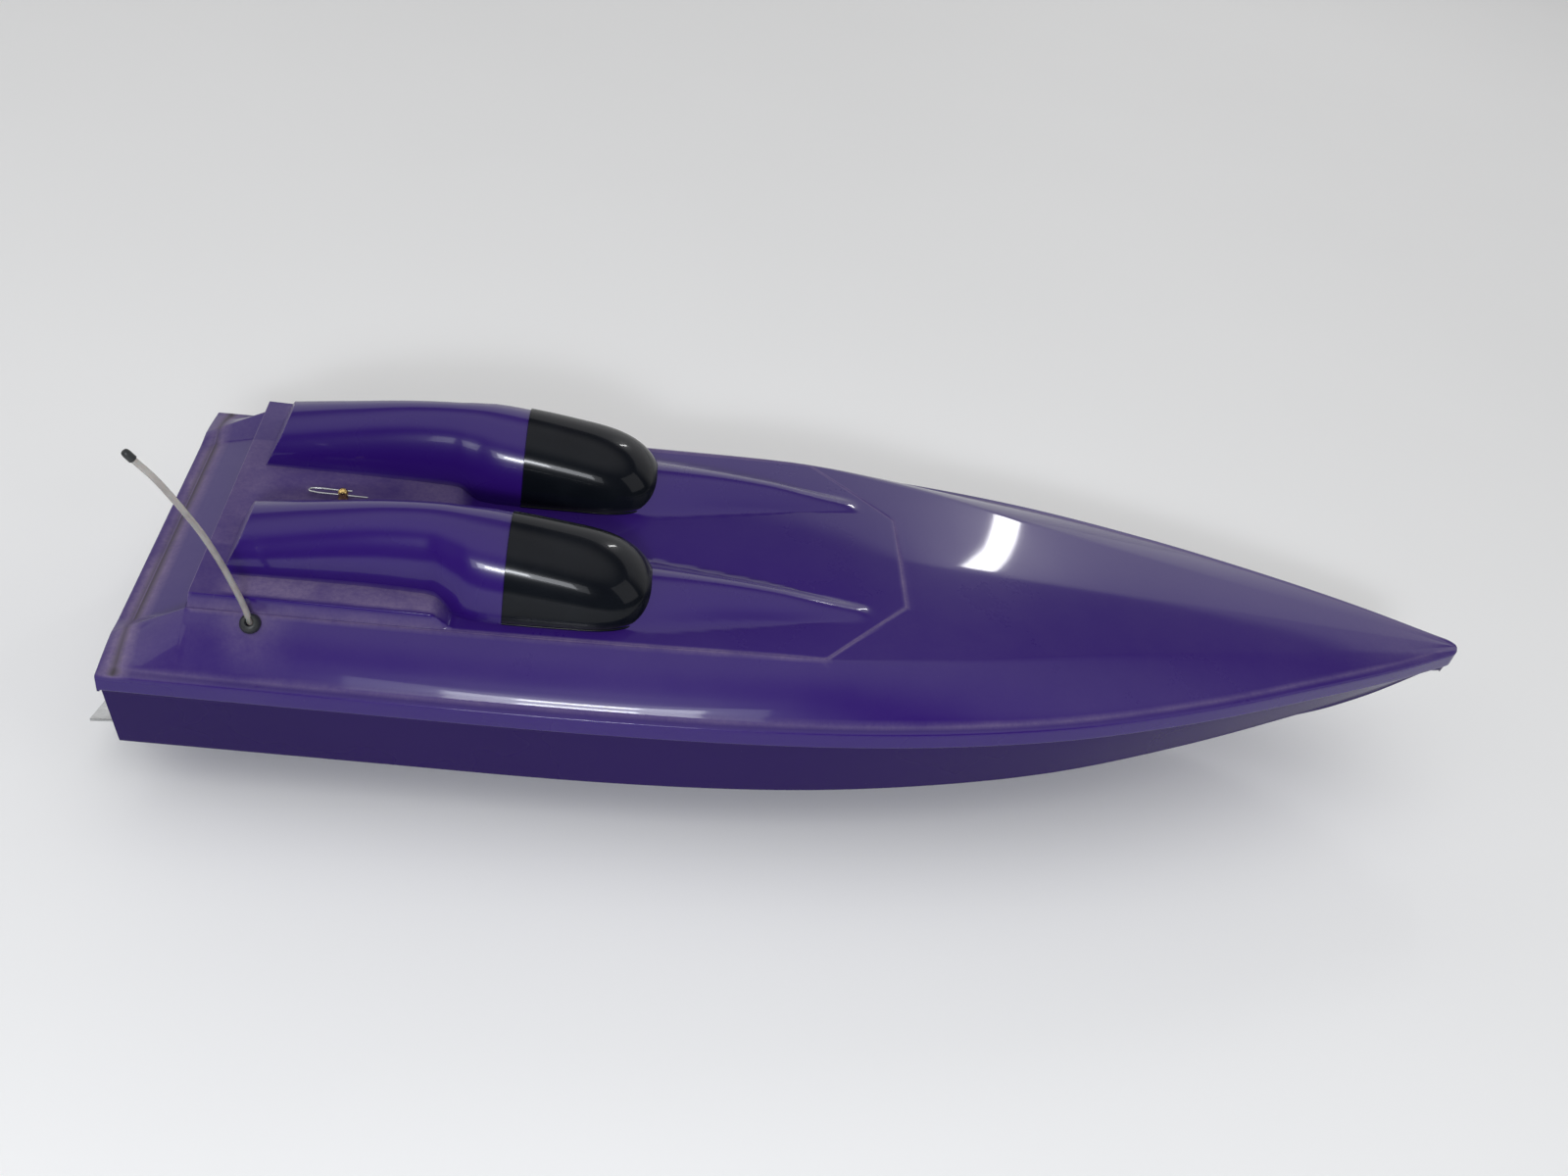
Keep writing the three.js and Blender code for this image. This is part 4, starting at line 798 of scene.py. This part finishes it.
def deck_dust_and_highlight(x, y, z, up):
    side = np.abs(y)
    flat = np.clip(up, 0, 1)
    rim = (0.14 + 0.68 * band(x, RIM + 1, 8)) * (x < RIM + 9) * flat
    settled = 0.04 + 0.2 * band(x, RIM + 3, 7) + 0.14 * band(x, HATCH_AFT, 8)
    tray = ((x < HATCH_AFT) & (side < 88)) * settled * flat
    ramp = 0.14 * flat * (1 - smooth_step(12, HATCH_AFT + 50, x)) * smooth_step(66, 82, side)
    round_tube = np.exp(-((x - GROMMET[0]) ** 2 + (y - GROMMET[1]) ** 2) / TUBE_DUST_REACH**2) * 0.26
    beams = np.array([half_beam(v) for v in x])
    lip = band(side, beams - FLANGE, 2.6) * (z > lip_top(x) - 1) * 0.22
    edge_in = hatch_half(x) - side
    # Along the hatch's edge and just ahead of its front: a light dust film that is also a painted highlight
    # line on the seam.
    seam_dust_and_highlight = ((x > HATCH_AFT) & (x < HATCH_FRONT)) * band(edge_in, -1.0, 1.5) * 0.4
    front = band(x, HATCH_FRONT + 1, 1.6) * (side < HATCH_NOSE_HALF) * 0.5
    bow = smooth_step(668, 745, x) * flat * 0.1
    return np.maximum.reduce([rim, tray, ramp, round_tube, lip, seam_dust_and_highlight, front, bow]) + 0.03 * flat


# ---- hatch
SCREEN_SKIN = 1.3
SCREEN_GAP = 0.3
SCREEN_FOOT = 0.5  # how far a windshield stands above the hatch under it


def nose_share(x, tip=SCREEN_TIP):
    u = np.clip((x - NOSE_START) / (tip - NOSE_START), 0, 1)
    return (1 - u**3) ** 0.45


def dome(s, power=2.2):
    return np.clip(1 - np.abs(s) ** power, 0, None) ** (1 / power)


def hatch_base(x, y):
    deck = deck_surface(x, y)
    aft = smooth_step(HATCH_AFT - 0.2, HATCH_AFT + 1.3, x)
    along = aft * (1 - smooth_step(PLINTH_END - 6.5, PLINTH_END + 6.5, x))
    across = smooth_step(HATCH_HALF - 0.1, HATCH_HALF - 1.7, np.abs(y))
    return deck + (SHEER + PLINTH_TOP - deck) * along * across


def pod_height(x, y, inset=0.0):
    tip = SCREEN_TIP - inset
    share = nose_share(x, tip)
    half = np.maximum(pod_half(x) * share - inset, 0.01)
    top = SHEER + pod_top(x) - hatch_base(x, pod_middle(x)) - inset
    inside = (x >= POD_AFT) & (x < tip)
    skin = top * share * dome((np.abs(y) - pod_middle(x)) / half)
    return np.where(inside, np.minimum(skin, (x - POD_AFT) * POD_RAKE), 0)


def fairing_height(x, y):
    s = np.clip(np.abs(np.abs(y) - pod_middle(x)) / fairing_half(x), 0, 1)
    top = np.clip(SHEER + fairing_top(x) - hatch_base(x, pod_middle(x)), 0, None)
    inside = smooth_step(236, 244, x) * (1 - smooth_step(378, 390, x))
    return top * inside * np.clip(1 - s * s, 0, None) ** 1.25


def hatch_top(x, y):
    under_screen = x > SCREEN_AFT
    tall = np.where(under_screen, pod_height(x, y, SCREEN_SKIN + SCREEN_GAP), pod_height(x, y))
    bump = np.maximum(tall, fairing_height(x, y))
    fillet = np.where(under_screen, 0.4, 2.2)
    return hatch_base(x, y) + soft_max(bump, np.zeros_like(bump), fillet) - fillet / 4


PLINTH_EDGE = 83.2


def hatch_columns(x):
    """Half of the hatch's columns at x, crowded at the pod's sides and the plinth's edge."""
    edge = float(hatch_half(x))
    scale = edge / HATCH_HALF
    share = max(float(nose_share(x)), 0.42)
    middle, half = float(pod_middle(x)), float(pod_half(x)) * share
    inner, outer = max(middle - half, 9.0), min(middle + half, 79.5)
    return np.concatenate([
        clustered(0, inner * scale, 14, False, True)[:-1],
        clustered(inner * scale, outer * scale, 44)[:-1],
        clustered(outer * scale, PLINTH_EDGE * scale, 12, True, False)[:-1],
        np.linspace(PLINTH_EDGE * scale, edge, 12),
    ])


HATCH_DROP = ((0.12, 0.25), (0.25, 0.8), (0.25, 2.3))  # how far out and down the rings of its edge lie
OUTWARD = 0.6  # share of a ring's way out that is taken
TOUCH = 0.01


def build_hatch():
    rows = np.concatenate([
        clustered(HATCH_AFT, HATCH_AFT + 2, 8, False, False)[:-1],
        np.linspace(HATCH_AFT + 2, POD_AFT, 9)[:-1],
        np.linspace(POD_AFT, POD_AFT + 15, 44)[:-1], np.linspace(POD_AFT + 15, PLINTH_END - 7, 50)[:-1],
        np.linspace(PLINTH_END - 7, PLINTH_END + 7, 22)[:-1], np.linspace(PLINTH_END + 7, SCREEN_AFT, 16),
        [SCREEN_AFT + 0.12], np.linspace(SCREEN_AFT + 1.5, 222, 14), np.linspace(223, 272, 60)[:-1],
        np.linspace(272, 392, 80)[:-1], np.linspace(392, HATCH_FRONT, 12),
    ])
    grid = []
    for x in rows:
        half = hatch_columns(x)
        ys = np.concatenate([-half[:0:-1], half])
        grid.append(np.stack([np.full_like(ys, x), ys, hatch_top(np.full_like(ys, x), ys)], 1))
    grid = np.array(grid)
    count, columns = grid.shape[:2]
    verts = list(grid.reshape(-1, 3))
    faces = grid_faces(count, columns)

    def pushed_out(x, y, outward):
        step = outward * OUTWARD
        at_side = abs(y) > hatch_half(x) - TOUCH
        x_out = x - step * (x < HATCH_AFT + TOUCH) + step * (x > HATCH_FRONT - TOUCH)
        return x_out, y + math.copysign(step, y) * at_side

    loop = block_edge(columns, (0, count - 1), (0, columns - 1))
    add_rings(verts, faces, loop, HATCH_DROP, pushed_out, backward=True)
    return walled_sheet("hatch", verts, faces, HATCH_SKIN)


def hatch_dust_and_highlight(x, y, z, up):
    side = np.abs(y)
    flat = np.clip(up, 0, 1) ** 2
    height = z - hatch_base(x, y)
    ramp_end = 1 - smooth_step(PLINTH_END - 4, PLINTH_END + 5, x)
    low = np.clip(1 - height / 3.0, 0, 1) * flat * ramp_end
    outside_pod = side > pod_middle(x)
    inboard = smooth_step(HATCH_HALF - 1.6, HATCH_HALF - 5, side)
    flange = low * outside_pod * inboard * 0.5 * smooth_step(HATCH_AFT, HATCH_AFT + 30, x)
    valley = low * ~outside_pod * 0.3
    shelf = low * (1 - smooth_step(POD_AFT - 2, POD_AFT + 14, x)) * 0.16
    plane = (x - POD_AFT) * POD_RAKE
    on_rake = (x > POD_AFT + 0.3) & (x < POD_AFT + 16) & (np.abs(height - plane) < 0.8)
    rise = np.clip(height / 24, 0, 1)
    rake = on_rake * (0.14 + 0.22 * rise)
    # Along the hatch's edge and across its front: a light dust film that is also a painted highlight line on
    # the seam.
    seam_dust_and_highlight = ((x > HATCH_AFT) & (z < shoulder_top(x) + 6)) * band(hatch_half(x) - side, 0.2, 1.6) * 0.35
    front = band(x, HATCH_FRONT, 1.6) * 0.5
    ledge = band(x, HATCH_AFT + 0.8, 1.6) * (z > SHEER + PLINTH_TOP - 2) * 0.5
    return np.maximum.reduce([flange, valley, shelf, rake, seam_dust_and_highlight, front, ledge, 0.02 * flat])


# ---- windshields
def build_windshield(side):
    """A windshield: an outer and an inner skin, closed along the edge."""
    q = np.linspace(1, 0.0, 58)
    across = np.sin(np.linspace(-1, 1, 65) * math.pi / 2)
    start = SCREEN_AFT + SCREEN_GAP
    skins = []
    for inset in (0.0, SCREEN_SKIN):
        tip = SCREEN_TIP - inset - 0.05
        x = (start + (1 - q**2) * (tip - start))[:, None]
        half = np.maximum(pod_half(x) * nose_share(x, tip) - inset, 0.05)
        y = side * pod_middle(x) + across[None, :] * half
        x = np.repeat(x, len(across), 1)
        z = hatch_base(x, y) + pod_height(x, y, inset) + SCREEN_FOOT
        skins.append(np.dstack([x, y, z]))
    outer, inner = skins
    count, columns = outer.shape[:2]
    verts = np.concatenate([outer.reshape(-1, 3), inner.reshape(-1, 3)])
    below = count * columns
    faces = [face[::-1] for face in grid_faces(count, columns)]
    faces += grid_faces(count, columns, start=below)
    loop = block_edge(columns, (0, count - 1), (0, columns - 1))
    faces += band_faces(loop, [k + below for k in loop], backward=True)
    name = "windshield_" + ("left" if side > 0 else "right")
    return clean(make_object(name, to_metres(verts), faces), TIP_WELD)


BEAD_RADIUS = 0.55
BEAD_OUT = 0.15


def build_bead(side):
    """The rounded bead along a windshield's foot."""
    tip = SCREEN_TIP
    q = np.linspace(0, 1, 90)
    x = tip - (tip - SCREEN_AFT - SCREEN_GAP) * (1 - np.sqrt(1 - q**2))
    half = pod_half(x) * nose_share(x, tip)
    x, half = x[::-1], half[::-1]
    out, back = pod_middle(x) + half + BEAD_OUT, pod_middle(x) - half - BEAD_OUT
    line = list(zip(x, out)) + list(zip(x, back))[::-1][1:]
    path = [[a, side * b, float(hatch_base(a, b)) + SCREEN_FOOT] for a, b in line]
    name = "windshield_bead_" + ("left" if side > 0 else "right")
    return tube_along(name, path, BEAD_RADIUS, 10, 1)


def screen_dust(x, y, z, up):
    foot = z - hatch_base(x, y)
    return np.clip(1 - foot / 3.0, 0, 1) * 0.45 + 0.03 * np.clip(up, 0, 1)


# ---- hull
HULL_INSET = 2.6
HULL_DROP = 3.4
HOLLOW_FRONT = 721
FIT_GAP = 0.3  # left between the hull and the deck's lip
BOW_LIP_START = 719
CORNER_RADII = np.array([0, 3, 0.8, 0.5, 1.5, 0.6, 0.5, 0.8, 1.2, 0])


def hull_section(x):
    """Hull section from its top edge down and in to the keel, as [y, z]."""
    beam = max(half_beam(x) - HULL_INSET, 1.2)
    chine = min(max(float(chine_half(x)), 0.9), beam)
    edge, low = float(chine_top(x)), float(keel(x))
    pad = min(PAD_HALF, chine * 0.3)
    slope = (edge - low) / (chine - pad)
    strake = pad + (chine - pad) * 0.45
    lift = min(4.0, chine * 0.08)
    top = float(lip_top(x))
    small = min(1.0, chine * 0.05)
    rise = low + (strake - pad) * slope
    corners = [
        [beam, top - HULL_DROP], [beam, top - LIP_HEIGHT - 1], [chine, edge + 1], [chine - 0.2, edge - 0.8],
        [chine - lift - 1, edge - 0.6 - slope], [strake + lift, low + (strake + lift - pad) * slope],
        [strake + lift, rise - 0.2], [strake, rise - 0.3], [pad, low], [0, low],
    ]
    return rounded(corners, CORNER_RADII * small, 4, 4)


def cavity_section(x, wall=SKIN):
    beam = half_beam(x) - HULL_INSET - wall
    chine = min(float(chine_half(x)) - wall, beam)
    pad = min(PAD_HALF, chine * 0.3)
    return rounded(
        [
            [beam, float(lip_top(x)) + 40], [beam, float(lip_top(x)) - LIP_HEIGHT],
            [chine, float(chine_top(x)) + 2], [pad, float(keel(x)) + wall], [0, float(keel(x)) + wall],
        ],
        [0, 2, 2.5, 2, 0], 4, 3,
    )


def section_ring(x, half, rake=0.0):
    half = np.asarray(half)
    ahead = rake * np.clip(SHEER - half[:, 1], 0, None) / SHEER
    port = np.stack([x + ahead, half[:, 0], half[:, 1]], 1)
    starboard = (port * [1, -1, 1])[:-1]
    return np.concatenate([port, starboard[::-1]])


def section_rings(section, stations):
    """Rings of a section at each station; the first leans with the transom."""
    return [section_ring(x, section(x), RAKE_X * (i == 0)) for i, x in enumerate(np.concatenate(stations))]


def block(name, x, y, z):
    """A cutting block, in lines-plan millimetres."""
    corners = [[a, b, c] for a in x for b in y for c in z]
    faces = [(0, 1, 3, 2), (4, 6, 7, 5), (0, 4, 5, 1), (2, 3, 7, 6), (0, 2, 6, 4), (1, 5, 7, 3)]
    return clean(make_object(name, to_metres(corners), faces))


def round_bar(name, start, end, radius, sides=48):
    """A closed round bar between two points, in lines-plan millimetres."""
    start, end = Vector(start), Vector(end)
    turn = (end - start).to_track_quat("Z", "Y")
    ring = [turn @ Vector((radius * math.cos(a), radius * math.sin(a), 0)) for a in round_angles(sides)]
    return loft(name, [[list(place + point) for point in ring] for place in (start, end)])


def on_shaft(run):
    return Vector((SHAFT_X + run, 0, SHAFT_Z + run * SHAFT_SLOPE))


def build_hull():
    aft = TRANSOM + FIT_GAP
    stations = [[FIT_GAP, 8, 16, 24, 32, 40], np.linspace(46, 740, 150), np.linspace(743, 761.4, 10)]
    hollow_stations = [[aft], np.linspace(46, HOLLOW_FRONT, 70)]
    outer = loft("hull", section_rings(hull_section, stations))
    hollow = loft("hollow", section_rings(cavity_section, hollow_stations))
    length, half, top, wall = POCKET_LENGTH, POCKET_HALF, POCKET_TOP, POCKET_WALL
    cut(hollow, block("liner", (-20, length + wall), (-half - wall, half + wall), (-5, top + wall)))
    lip_foot = SHEER - LIP_HEIGHT - FIT_GAP
    bow_foot = float(lip_top(LENGTH)) - LIP_HEIGHT - FIT_GAP
    cut(
        outer, hollow,
        block("pocket", (-20, length), (-half, half), (-5, top)),
        block("transom_lip", (-5, aft), (-150, 150), (lip_foot, SHEER + 20)),
        block("bow_lip", (BOW_LIP_START, LENGTH + 5), (-150, 150), (bow_foot, SHEER + 40)),
        round_bar("tube_hole", on_shaft(20), on_shaft(60), STUFFING_HOLE),
    )
    return clean(outer)


def hull_dust(x, y, z, up):
    return 0.05 * band(z, lip_top(x) - LIP_HEIGHT, 3)


# ---- antenna and latch
def tube_along(name, points, radius, sides=32, steps=14):
    """A round tube or wire along a smooth line through points, in lines-plan millimetres."""
    line = catmull(points, steps)
    angles = round_angles(sides)
    rings = []
    side = Vector((0, 1, 0))
    for i, here in enumerate(line):
        along = Vector(line[min(i + 1, len(line) - 1)] - line[max(i - 1, 0)]).normalized()
        side = (side - along * side.dot(along)).normalized()
        other = along.cross(side)
        spokes = [(side * math.cos(a) + other * math.sin(a)) * radius for a in angles]
        rings.append([list(Vector(here) + spoke) for spoke in spokes])
    return loft(name, rings)


def catmull(points, steps):
    """Points along a smooth curve through the given points."""
    p = np.asarray(points, float)
    p = np.vstack([2 * p[0] - p[1], p, 2 * p[-1] - p[-2]])
    line = []
    for i in range(1, len(p) - 2):
        for t in np.linspace(0, 1, steps, endpoint=False):
            a, b, c, d = p[i - 1 : i + 3]
            bend, twist = 2 * a - 5 * b + 4 * c - d, 3 * b - a - 3 * c + d
            line.append(0.5 * (2 * b + (c - a) * t + bend * t**2 + twist * t**3))
    line.append(p[-2])
    return np.array(line)


def turned(name, profile, place, tilt=None):
    """A solid of revolution from [radius, height] points, stood at a place in lines-plan mm."""
    turn = tilt or Matrix.Identity(3)
    place = Vector(place)
    rings = []
    for r, h in profile:
        ring = [Vector((r * math.cos(a), r * math.sin(a), h)) for a in round_angles(64)]
        rings.append([list(place + turn @ point) for point in ring])
    return loft(name, rings)


def deck_side_height(x, y):
    line = np.array(deck_side(x))
    return float(np.interp(-abs(y), -line[:, 0], line[:, 1]))


GROMMET_Z = deck_side_height(*GROMMET) + 0.2
DECK_SLOPE = math.atan2(
    deck_side_height(GROMMET[0], GROMMET[1] + 3) - deck_side_height(GROMMET[0], GROMMET[1] - 3), 6,
)
TUBE_ROUTE = [
    np.array([GROMMET[0] + x, GROMMET[1], GROMMET_Z + z])
    for x, z in (
        (-0.1, 0.4), (-2, 10.5), (-5.9, 23.8), (-11.5, 40),
        (-18.2, 55.8), (-26.5, 70.8), (-35.2, 84.4), (-43.2, 93.9),
    )
]


AXIS = 0.02  # a turned profile starts and ends this near its axis


def build_grommet():
    profile = [
        (AXIS, -4.9), (3.3, -4.9), (3.3, 0.2), (5.0, 0.2), (5.15, 0.5), (5.2, 1.1), (5.05, 1.9), (4.7, 2.8),
        (4.2, 3.6), (3.5, 4.2), (2.75, 4.5), (2.2, 4.5), (1.95, 4.2), (1.9, 3.4), (1.9, -1), (AXIS, -1),
    ]
    tilt = Matrix.Rotation(DECK_SLOPE, 3, "X")
    return turned("grommet", profile, (*GROMMET, GROMMET_Z), tilt)


def build_antenna_cap():
    before, end = (Vector(p) for p in TUBE_ROUTE[-2:])
    along = (end - before).normalized()
    profile = [
        (AXIS, 0.3), (1.9, 0.3), (2.1, 0.55), (2.05, 4.2), (1.85, 5.3), (1.4, 5.95), (0.8, 6.2), (AXIS, 6.25),
    ]
    tilt = along.to_track_quat("Z", "Y").to_matrix()
    return turned("aerial_cap", profile, end, tilt)


VALLEY = SHEER + PLINTH_TOP
EYE_Z = VALLEY + 3.2
WIRE = 0.6
BALL = 2.72


def build_latch_post():
    profile = [
        (AXIS, SHEER + 14.5), (1.9, SHEER + 14.5), (1.9, VALLEY + 0.1), (2.7, VALLEY + 0.35),
        (BALL, VALLEY + 1.1), (2.45, VALLEY + 1.6), (2.45, VALLEY + 4.3), (2.65, VALLEY + 4.6),
    ]
    for a in np.linspace(math.pi / 2, 0.01, 12):
        profile.append((math.sin(a) * BALL, VALLEY + 4.9 + BALL * math.cos(a)))
    post = turned("ball_post", profile, (LATCH_X, 0, 0))
    return cut(post, round_bar("eye", (LATCH_X - 9, 0, EYE_Z), (LATCH_X + 9, 0, EYE_Z), WIRE + 0.3, 24))


def build_latch_clip():
    side = 2.75 + WIRE + 0.3
    z = EYE_Z
    route = [
        [110, 0, z], [LATCH_X + 6, 0, z], [LATCH_X, 0, z], [LATCH_X - 6, 0, z], [84, 0, z], [80, 0.7, z],
        [79, 2, z], [80, 3.3, z], [84, 4, z], [LATCH_X - 6, side + 0.2, z], [LATCH_X, side + 0.3, z],
        [LATCH_X + 4, side + 0.6, z],
    ]
    return tube_along("hairpin", route, WIRE, 16, 8)


# ---- the foam, and gear carried over from the frame
FOAM_ENDS = (520, 620)
FOAM_HALF = 60
FOAM_TOP = SHEER
FOAM_HOLLOW = 0.35


def build_foam():
    """A block of foam cut to the bow's inside, with worn, rounded edges and slightly hollow faces."""
    aft, front = FOAM_ENDS
    worn = [(0.15, 3.4), (0.5, 2.1), (1.2, 1.1), (2.3, 0.45), (3.8, 0.1)]
    places = [(aft + x, inset) for x, inset in worn]
    for x in range(aft + 8, front - 5, 6):
        places.append((x, 0.1 + FOAM_HOLLOW * math.sin(math.pi * (x - aft) / (front - aft))))
    places += [(front - x, inset) for x, inset in reversed(worn)]
    rings = []
    for x, inset in places:
        side = np.array(cavity_section(x, SKIN + 0.5 + inset))
        side[:, 0] = np.minimum(side[:, 0], FOAM_HALF - 0.3 - inset)
        side[:, 1] = np.minimum(side[:, 1], FOAM_TOP - 0.5 - inset)
        rings.append(section_ring(x, side))
    return clean(loft("bow_foam_block", rings), TIP_WELD)


def refined(node, name, edge):
    """A finer copy of a frame node, with merged facets and rounded edges."""
    obj = linked(name, frame["nodes"][node].data.copy())
    edit = bmesh.new()
    edit.from_mesh(obj.data)
    bmesh.ops.remove_doubles(edit, verts=edit.verts, dist=WELD)
    bmesh.ops.dissolve_limit(edit, angle_limit=math.radians(1), verts=edit.verts, edges=edit.edges)
    edit.to_mesh(obj.data)
    edit.free()
    return bevelled(obj, edge)


BODY_OF = {node: body for body, nodes in frame["record"]["behaviour"]["bodies"].items() for node in nodes}
SLOT_OF = {part["node"]: part["material_slot"] for part in frame["record"]["subparts"]}


def paint_frame_nodes():
    for node, obj in frame["nodes"].items():
        material = MATERIALS[SLOT_OF[node]]
        if not obj.data.materials:
            obj.data.materials.append(material)
        for i in range(len(obj.data.materials)):
            obj.data.materials[i] = material
        for slot in obj.material_slots:
            slot.material = material


# ---- the stage
CAMERA_PLACE = Vector((0.00241, -0.61561, 0.60712))
CAMERA_LOOK = Vector((0.13663, 0.75637, -0.63972))  # direction of view
CAMERA_ROLL = math.radians(12.37)
LENS = 32.33


def build_camera():
    data = bpy.data.cameras.new("camera")
    data.lens = LENS
    data.clip_start, data.clip_end = 0.01, 100
    camera = linked("camera", data)
    look = CAMERA_LOOK.normalized()
    level = look.cross(Vector((0, 0, 1))).normalized()
    upright = level.cross(look)
    right = level * math.cos(CAMERA_ROLL) + upright * math.sin(CAMERA_ROLL)
    up = right.cross(look)
    turn = Matrix((right, up, -look)).transposed()
    camera.matrix_world = Matrix.Translation(CAMERA_PLACE) @ turn.to_4x4()
    bpy.context.scene.camera = camera


FLOOR_HALF = 6.0


def build_floor():
    verts = [(x * FLOOR_HALF, y * FLOOR_HALF, 0) for x, y in ((-1, -1), (1, -1), (1, 1), (-1, 1))]
    floor = make_object("floor", verts, [(0, 1, 2, 3)])
    s = Shader("pale_floor")
    s.set(Base_Color=s.mix(s.noise(3, 2), (0.88, 0.88, 0.88), (0.91, 0.91, 0.91)), Roughness=0.6)
    floor.data.materials.append(s.material)


def soft_box(name, place, target, size, power, colour=(1, 1, 1)):
    data = bpy.data.lights.new(name, "AREA")
    data.shape = "RECTANGLE"
    data.size, data.size_y = size
    data.energy = power
    data.color = colour
    light = linked(name, data)
    light.location = place
    light.rotation_mode = "QUATERNION"
    light.rotation_quaternion = (Vector(target) - Vector(place)).to_track_quat("-Z", "Y")


KEY_PLACE = (-0.04, -1.45, 0.93)
KEY_TARGET = (-0.02, 0, 0.1)
KEY_COLOUR = (0.92, 0.95, 1)
# boxes of growing size at one place give the key light a soft edge
KEY_BOXES = (("core", (0.24, 0.1), 5.0), ("inner", (0.5, 0.22), 6.2), ("outer", (0.8, 0.36), 2.2))
BOAT_MIDDLE = (0.1, 0, 0.05)


def build_light():
    world = bpy.data.worlds.new("studio")
    bpy.context.scene.world = world
    world.use_nodes = True
    nodes, links = world.node_tree.nodes, world.node_tree.links
    back = nodes["Background"]
    back.inputs["Color"].default_value = (1, 1, 1, 1)
    parts = nodes.new("ShaderNodeSeparateXYZ")
    links.new(nodes.new("ShaderNodeTexCoord").outputs["Generated"], parts.inputs[0])

    def fade(axis, *limits):
        node = nodes.new("ShaderNodeMapRange")
        node.interpolation_type = "SMOOTHSTEP"
        links.new(parts.outputs[axis], node.inputs["Value"])
        return set_range(node, *limits)

    backdrop = nodes.new("ShaderNodeMath")
    backdrop.operation = "MULTIPLY_ADD"
    links.new(fade("Y", 0.05, 0.4, 0, 0.82), backdrop.inputs[0])
    links.new(fade("Z", 0.56, 0.6, 1, 0), backdrop.inputs[1])
    links.new(fade("Z", 0.66, 0.93, 0.045, 0.98), backdrop.inputs[2])
    links.new(backdrop.outputs[0], back.inputs["Strength"])
    for name, size, power in KEY_BOXES:
        soft_box("key_" + name, KEY_PLACE, KEY_TARGET, size, power, KEY_COLOUR)
    soft_box("stern_side", (-2.1, -0.5, 1.5), BOAT_MIDDLE, (2.2, 1.8), 13)
    soft_box("bow_side", (2.5, -1.0, 1.4), BOAT_MIDDLE, (2.0, 1.7), 11)
    soft_box("window", (1.1, 2.05, 1.33), (0.23, 0, 0.1), (0.06, 0.36), 2.6)
    bpy.context.scene.view_settings.view_transform = "Standard"


# ---- assembly
build_camera()
build_floor()
build_light()
paint_frame_nodes()

# The deck and hatch rules give dust and the painted highlight lines along the hatch's edge.
for build, dust_and_highlight_rule, body, material, node in (
    (build_deck, deck_dust_and_highlight, "boat", PURPLE, "deck_shell"),
    (build_hatch, hatch_dust_and_highlight, "hatch", PURPLE, "hatch_shell"),
    (build_hull, hull_dust, "boat", PURPLE_HULL_SHADED, "hull_shell"),
):
    finish_piece(smooth(set_dust_and_highlight(build(), dust_and_highlight_rule)), body, "hull_purple", material, node)
for side, label in ((1, "port"), (-1, "starboard")):
    screen = smooth(set_dust_and_highlight(build_windshield(side), screen_dust), ROUND_SHARP)
    finish_piece(screen, "hatch", "windshield_black", BLACK_GLOSS, "windshield_" + label)
    finish_piece(smooth(build_bead(side), TUBE_SHARP), "hatch", "windshield_black", BLACK_GLOSS)

aerial = tube_along("aerial_tube", TUBE_ROUTE, TUBE_RADIUS, 24, 12)
for piece, degrees, body, slot, node in (
    (build_grommet(), ROUND_SHARP, "boat", "black_rubber", "antenna_grommet"),
    (aerial, TUBE_SHARP, "boat", "clear_nylon", "antenna_tube"),
    (build_antenna_cap(), ROUND_SHARP, "boat", "black_rubber", "antenna_cap"),
    (build_latch_post(), POST_SHARP, "hatch", "brass", "latch_post"),
    (build_latch_clip(), TUBE_SHARP, "hatch_clip", "steel", "latch_clip"),
):
    finish_piece(smooth(piece, degrees), body, slot, MATERIALS[slot], node)

foam = smooth(build_foam(), ROUND_SHARP)
finish_piece(foam, "boat", "foam", MATERIALS["foam"], "bow_foam")

REPLACED = {node for obj in bpy.data.objects for node in obj.get("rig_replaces", [])}
EDGE = 0.25
EDGES = {"battery_pack_port": 3.0, "battery_pack_starboard": 3.0, "steering_servo": 0.6, "motor_can": 0.8}
for node in sorted(frame["nodes"]):
    if node in REPLACED:
        continue
    piece = smooth(refined(node, node + "_fine", EDGES.get(node, EDGE)), GEAR_SHARP)
    finish_piece(piece, BODY_OF[node], SLOT_OF[node], MATERIALS[SLOT_OF[node]], node)
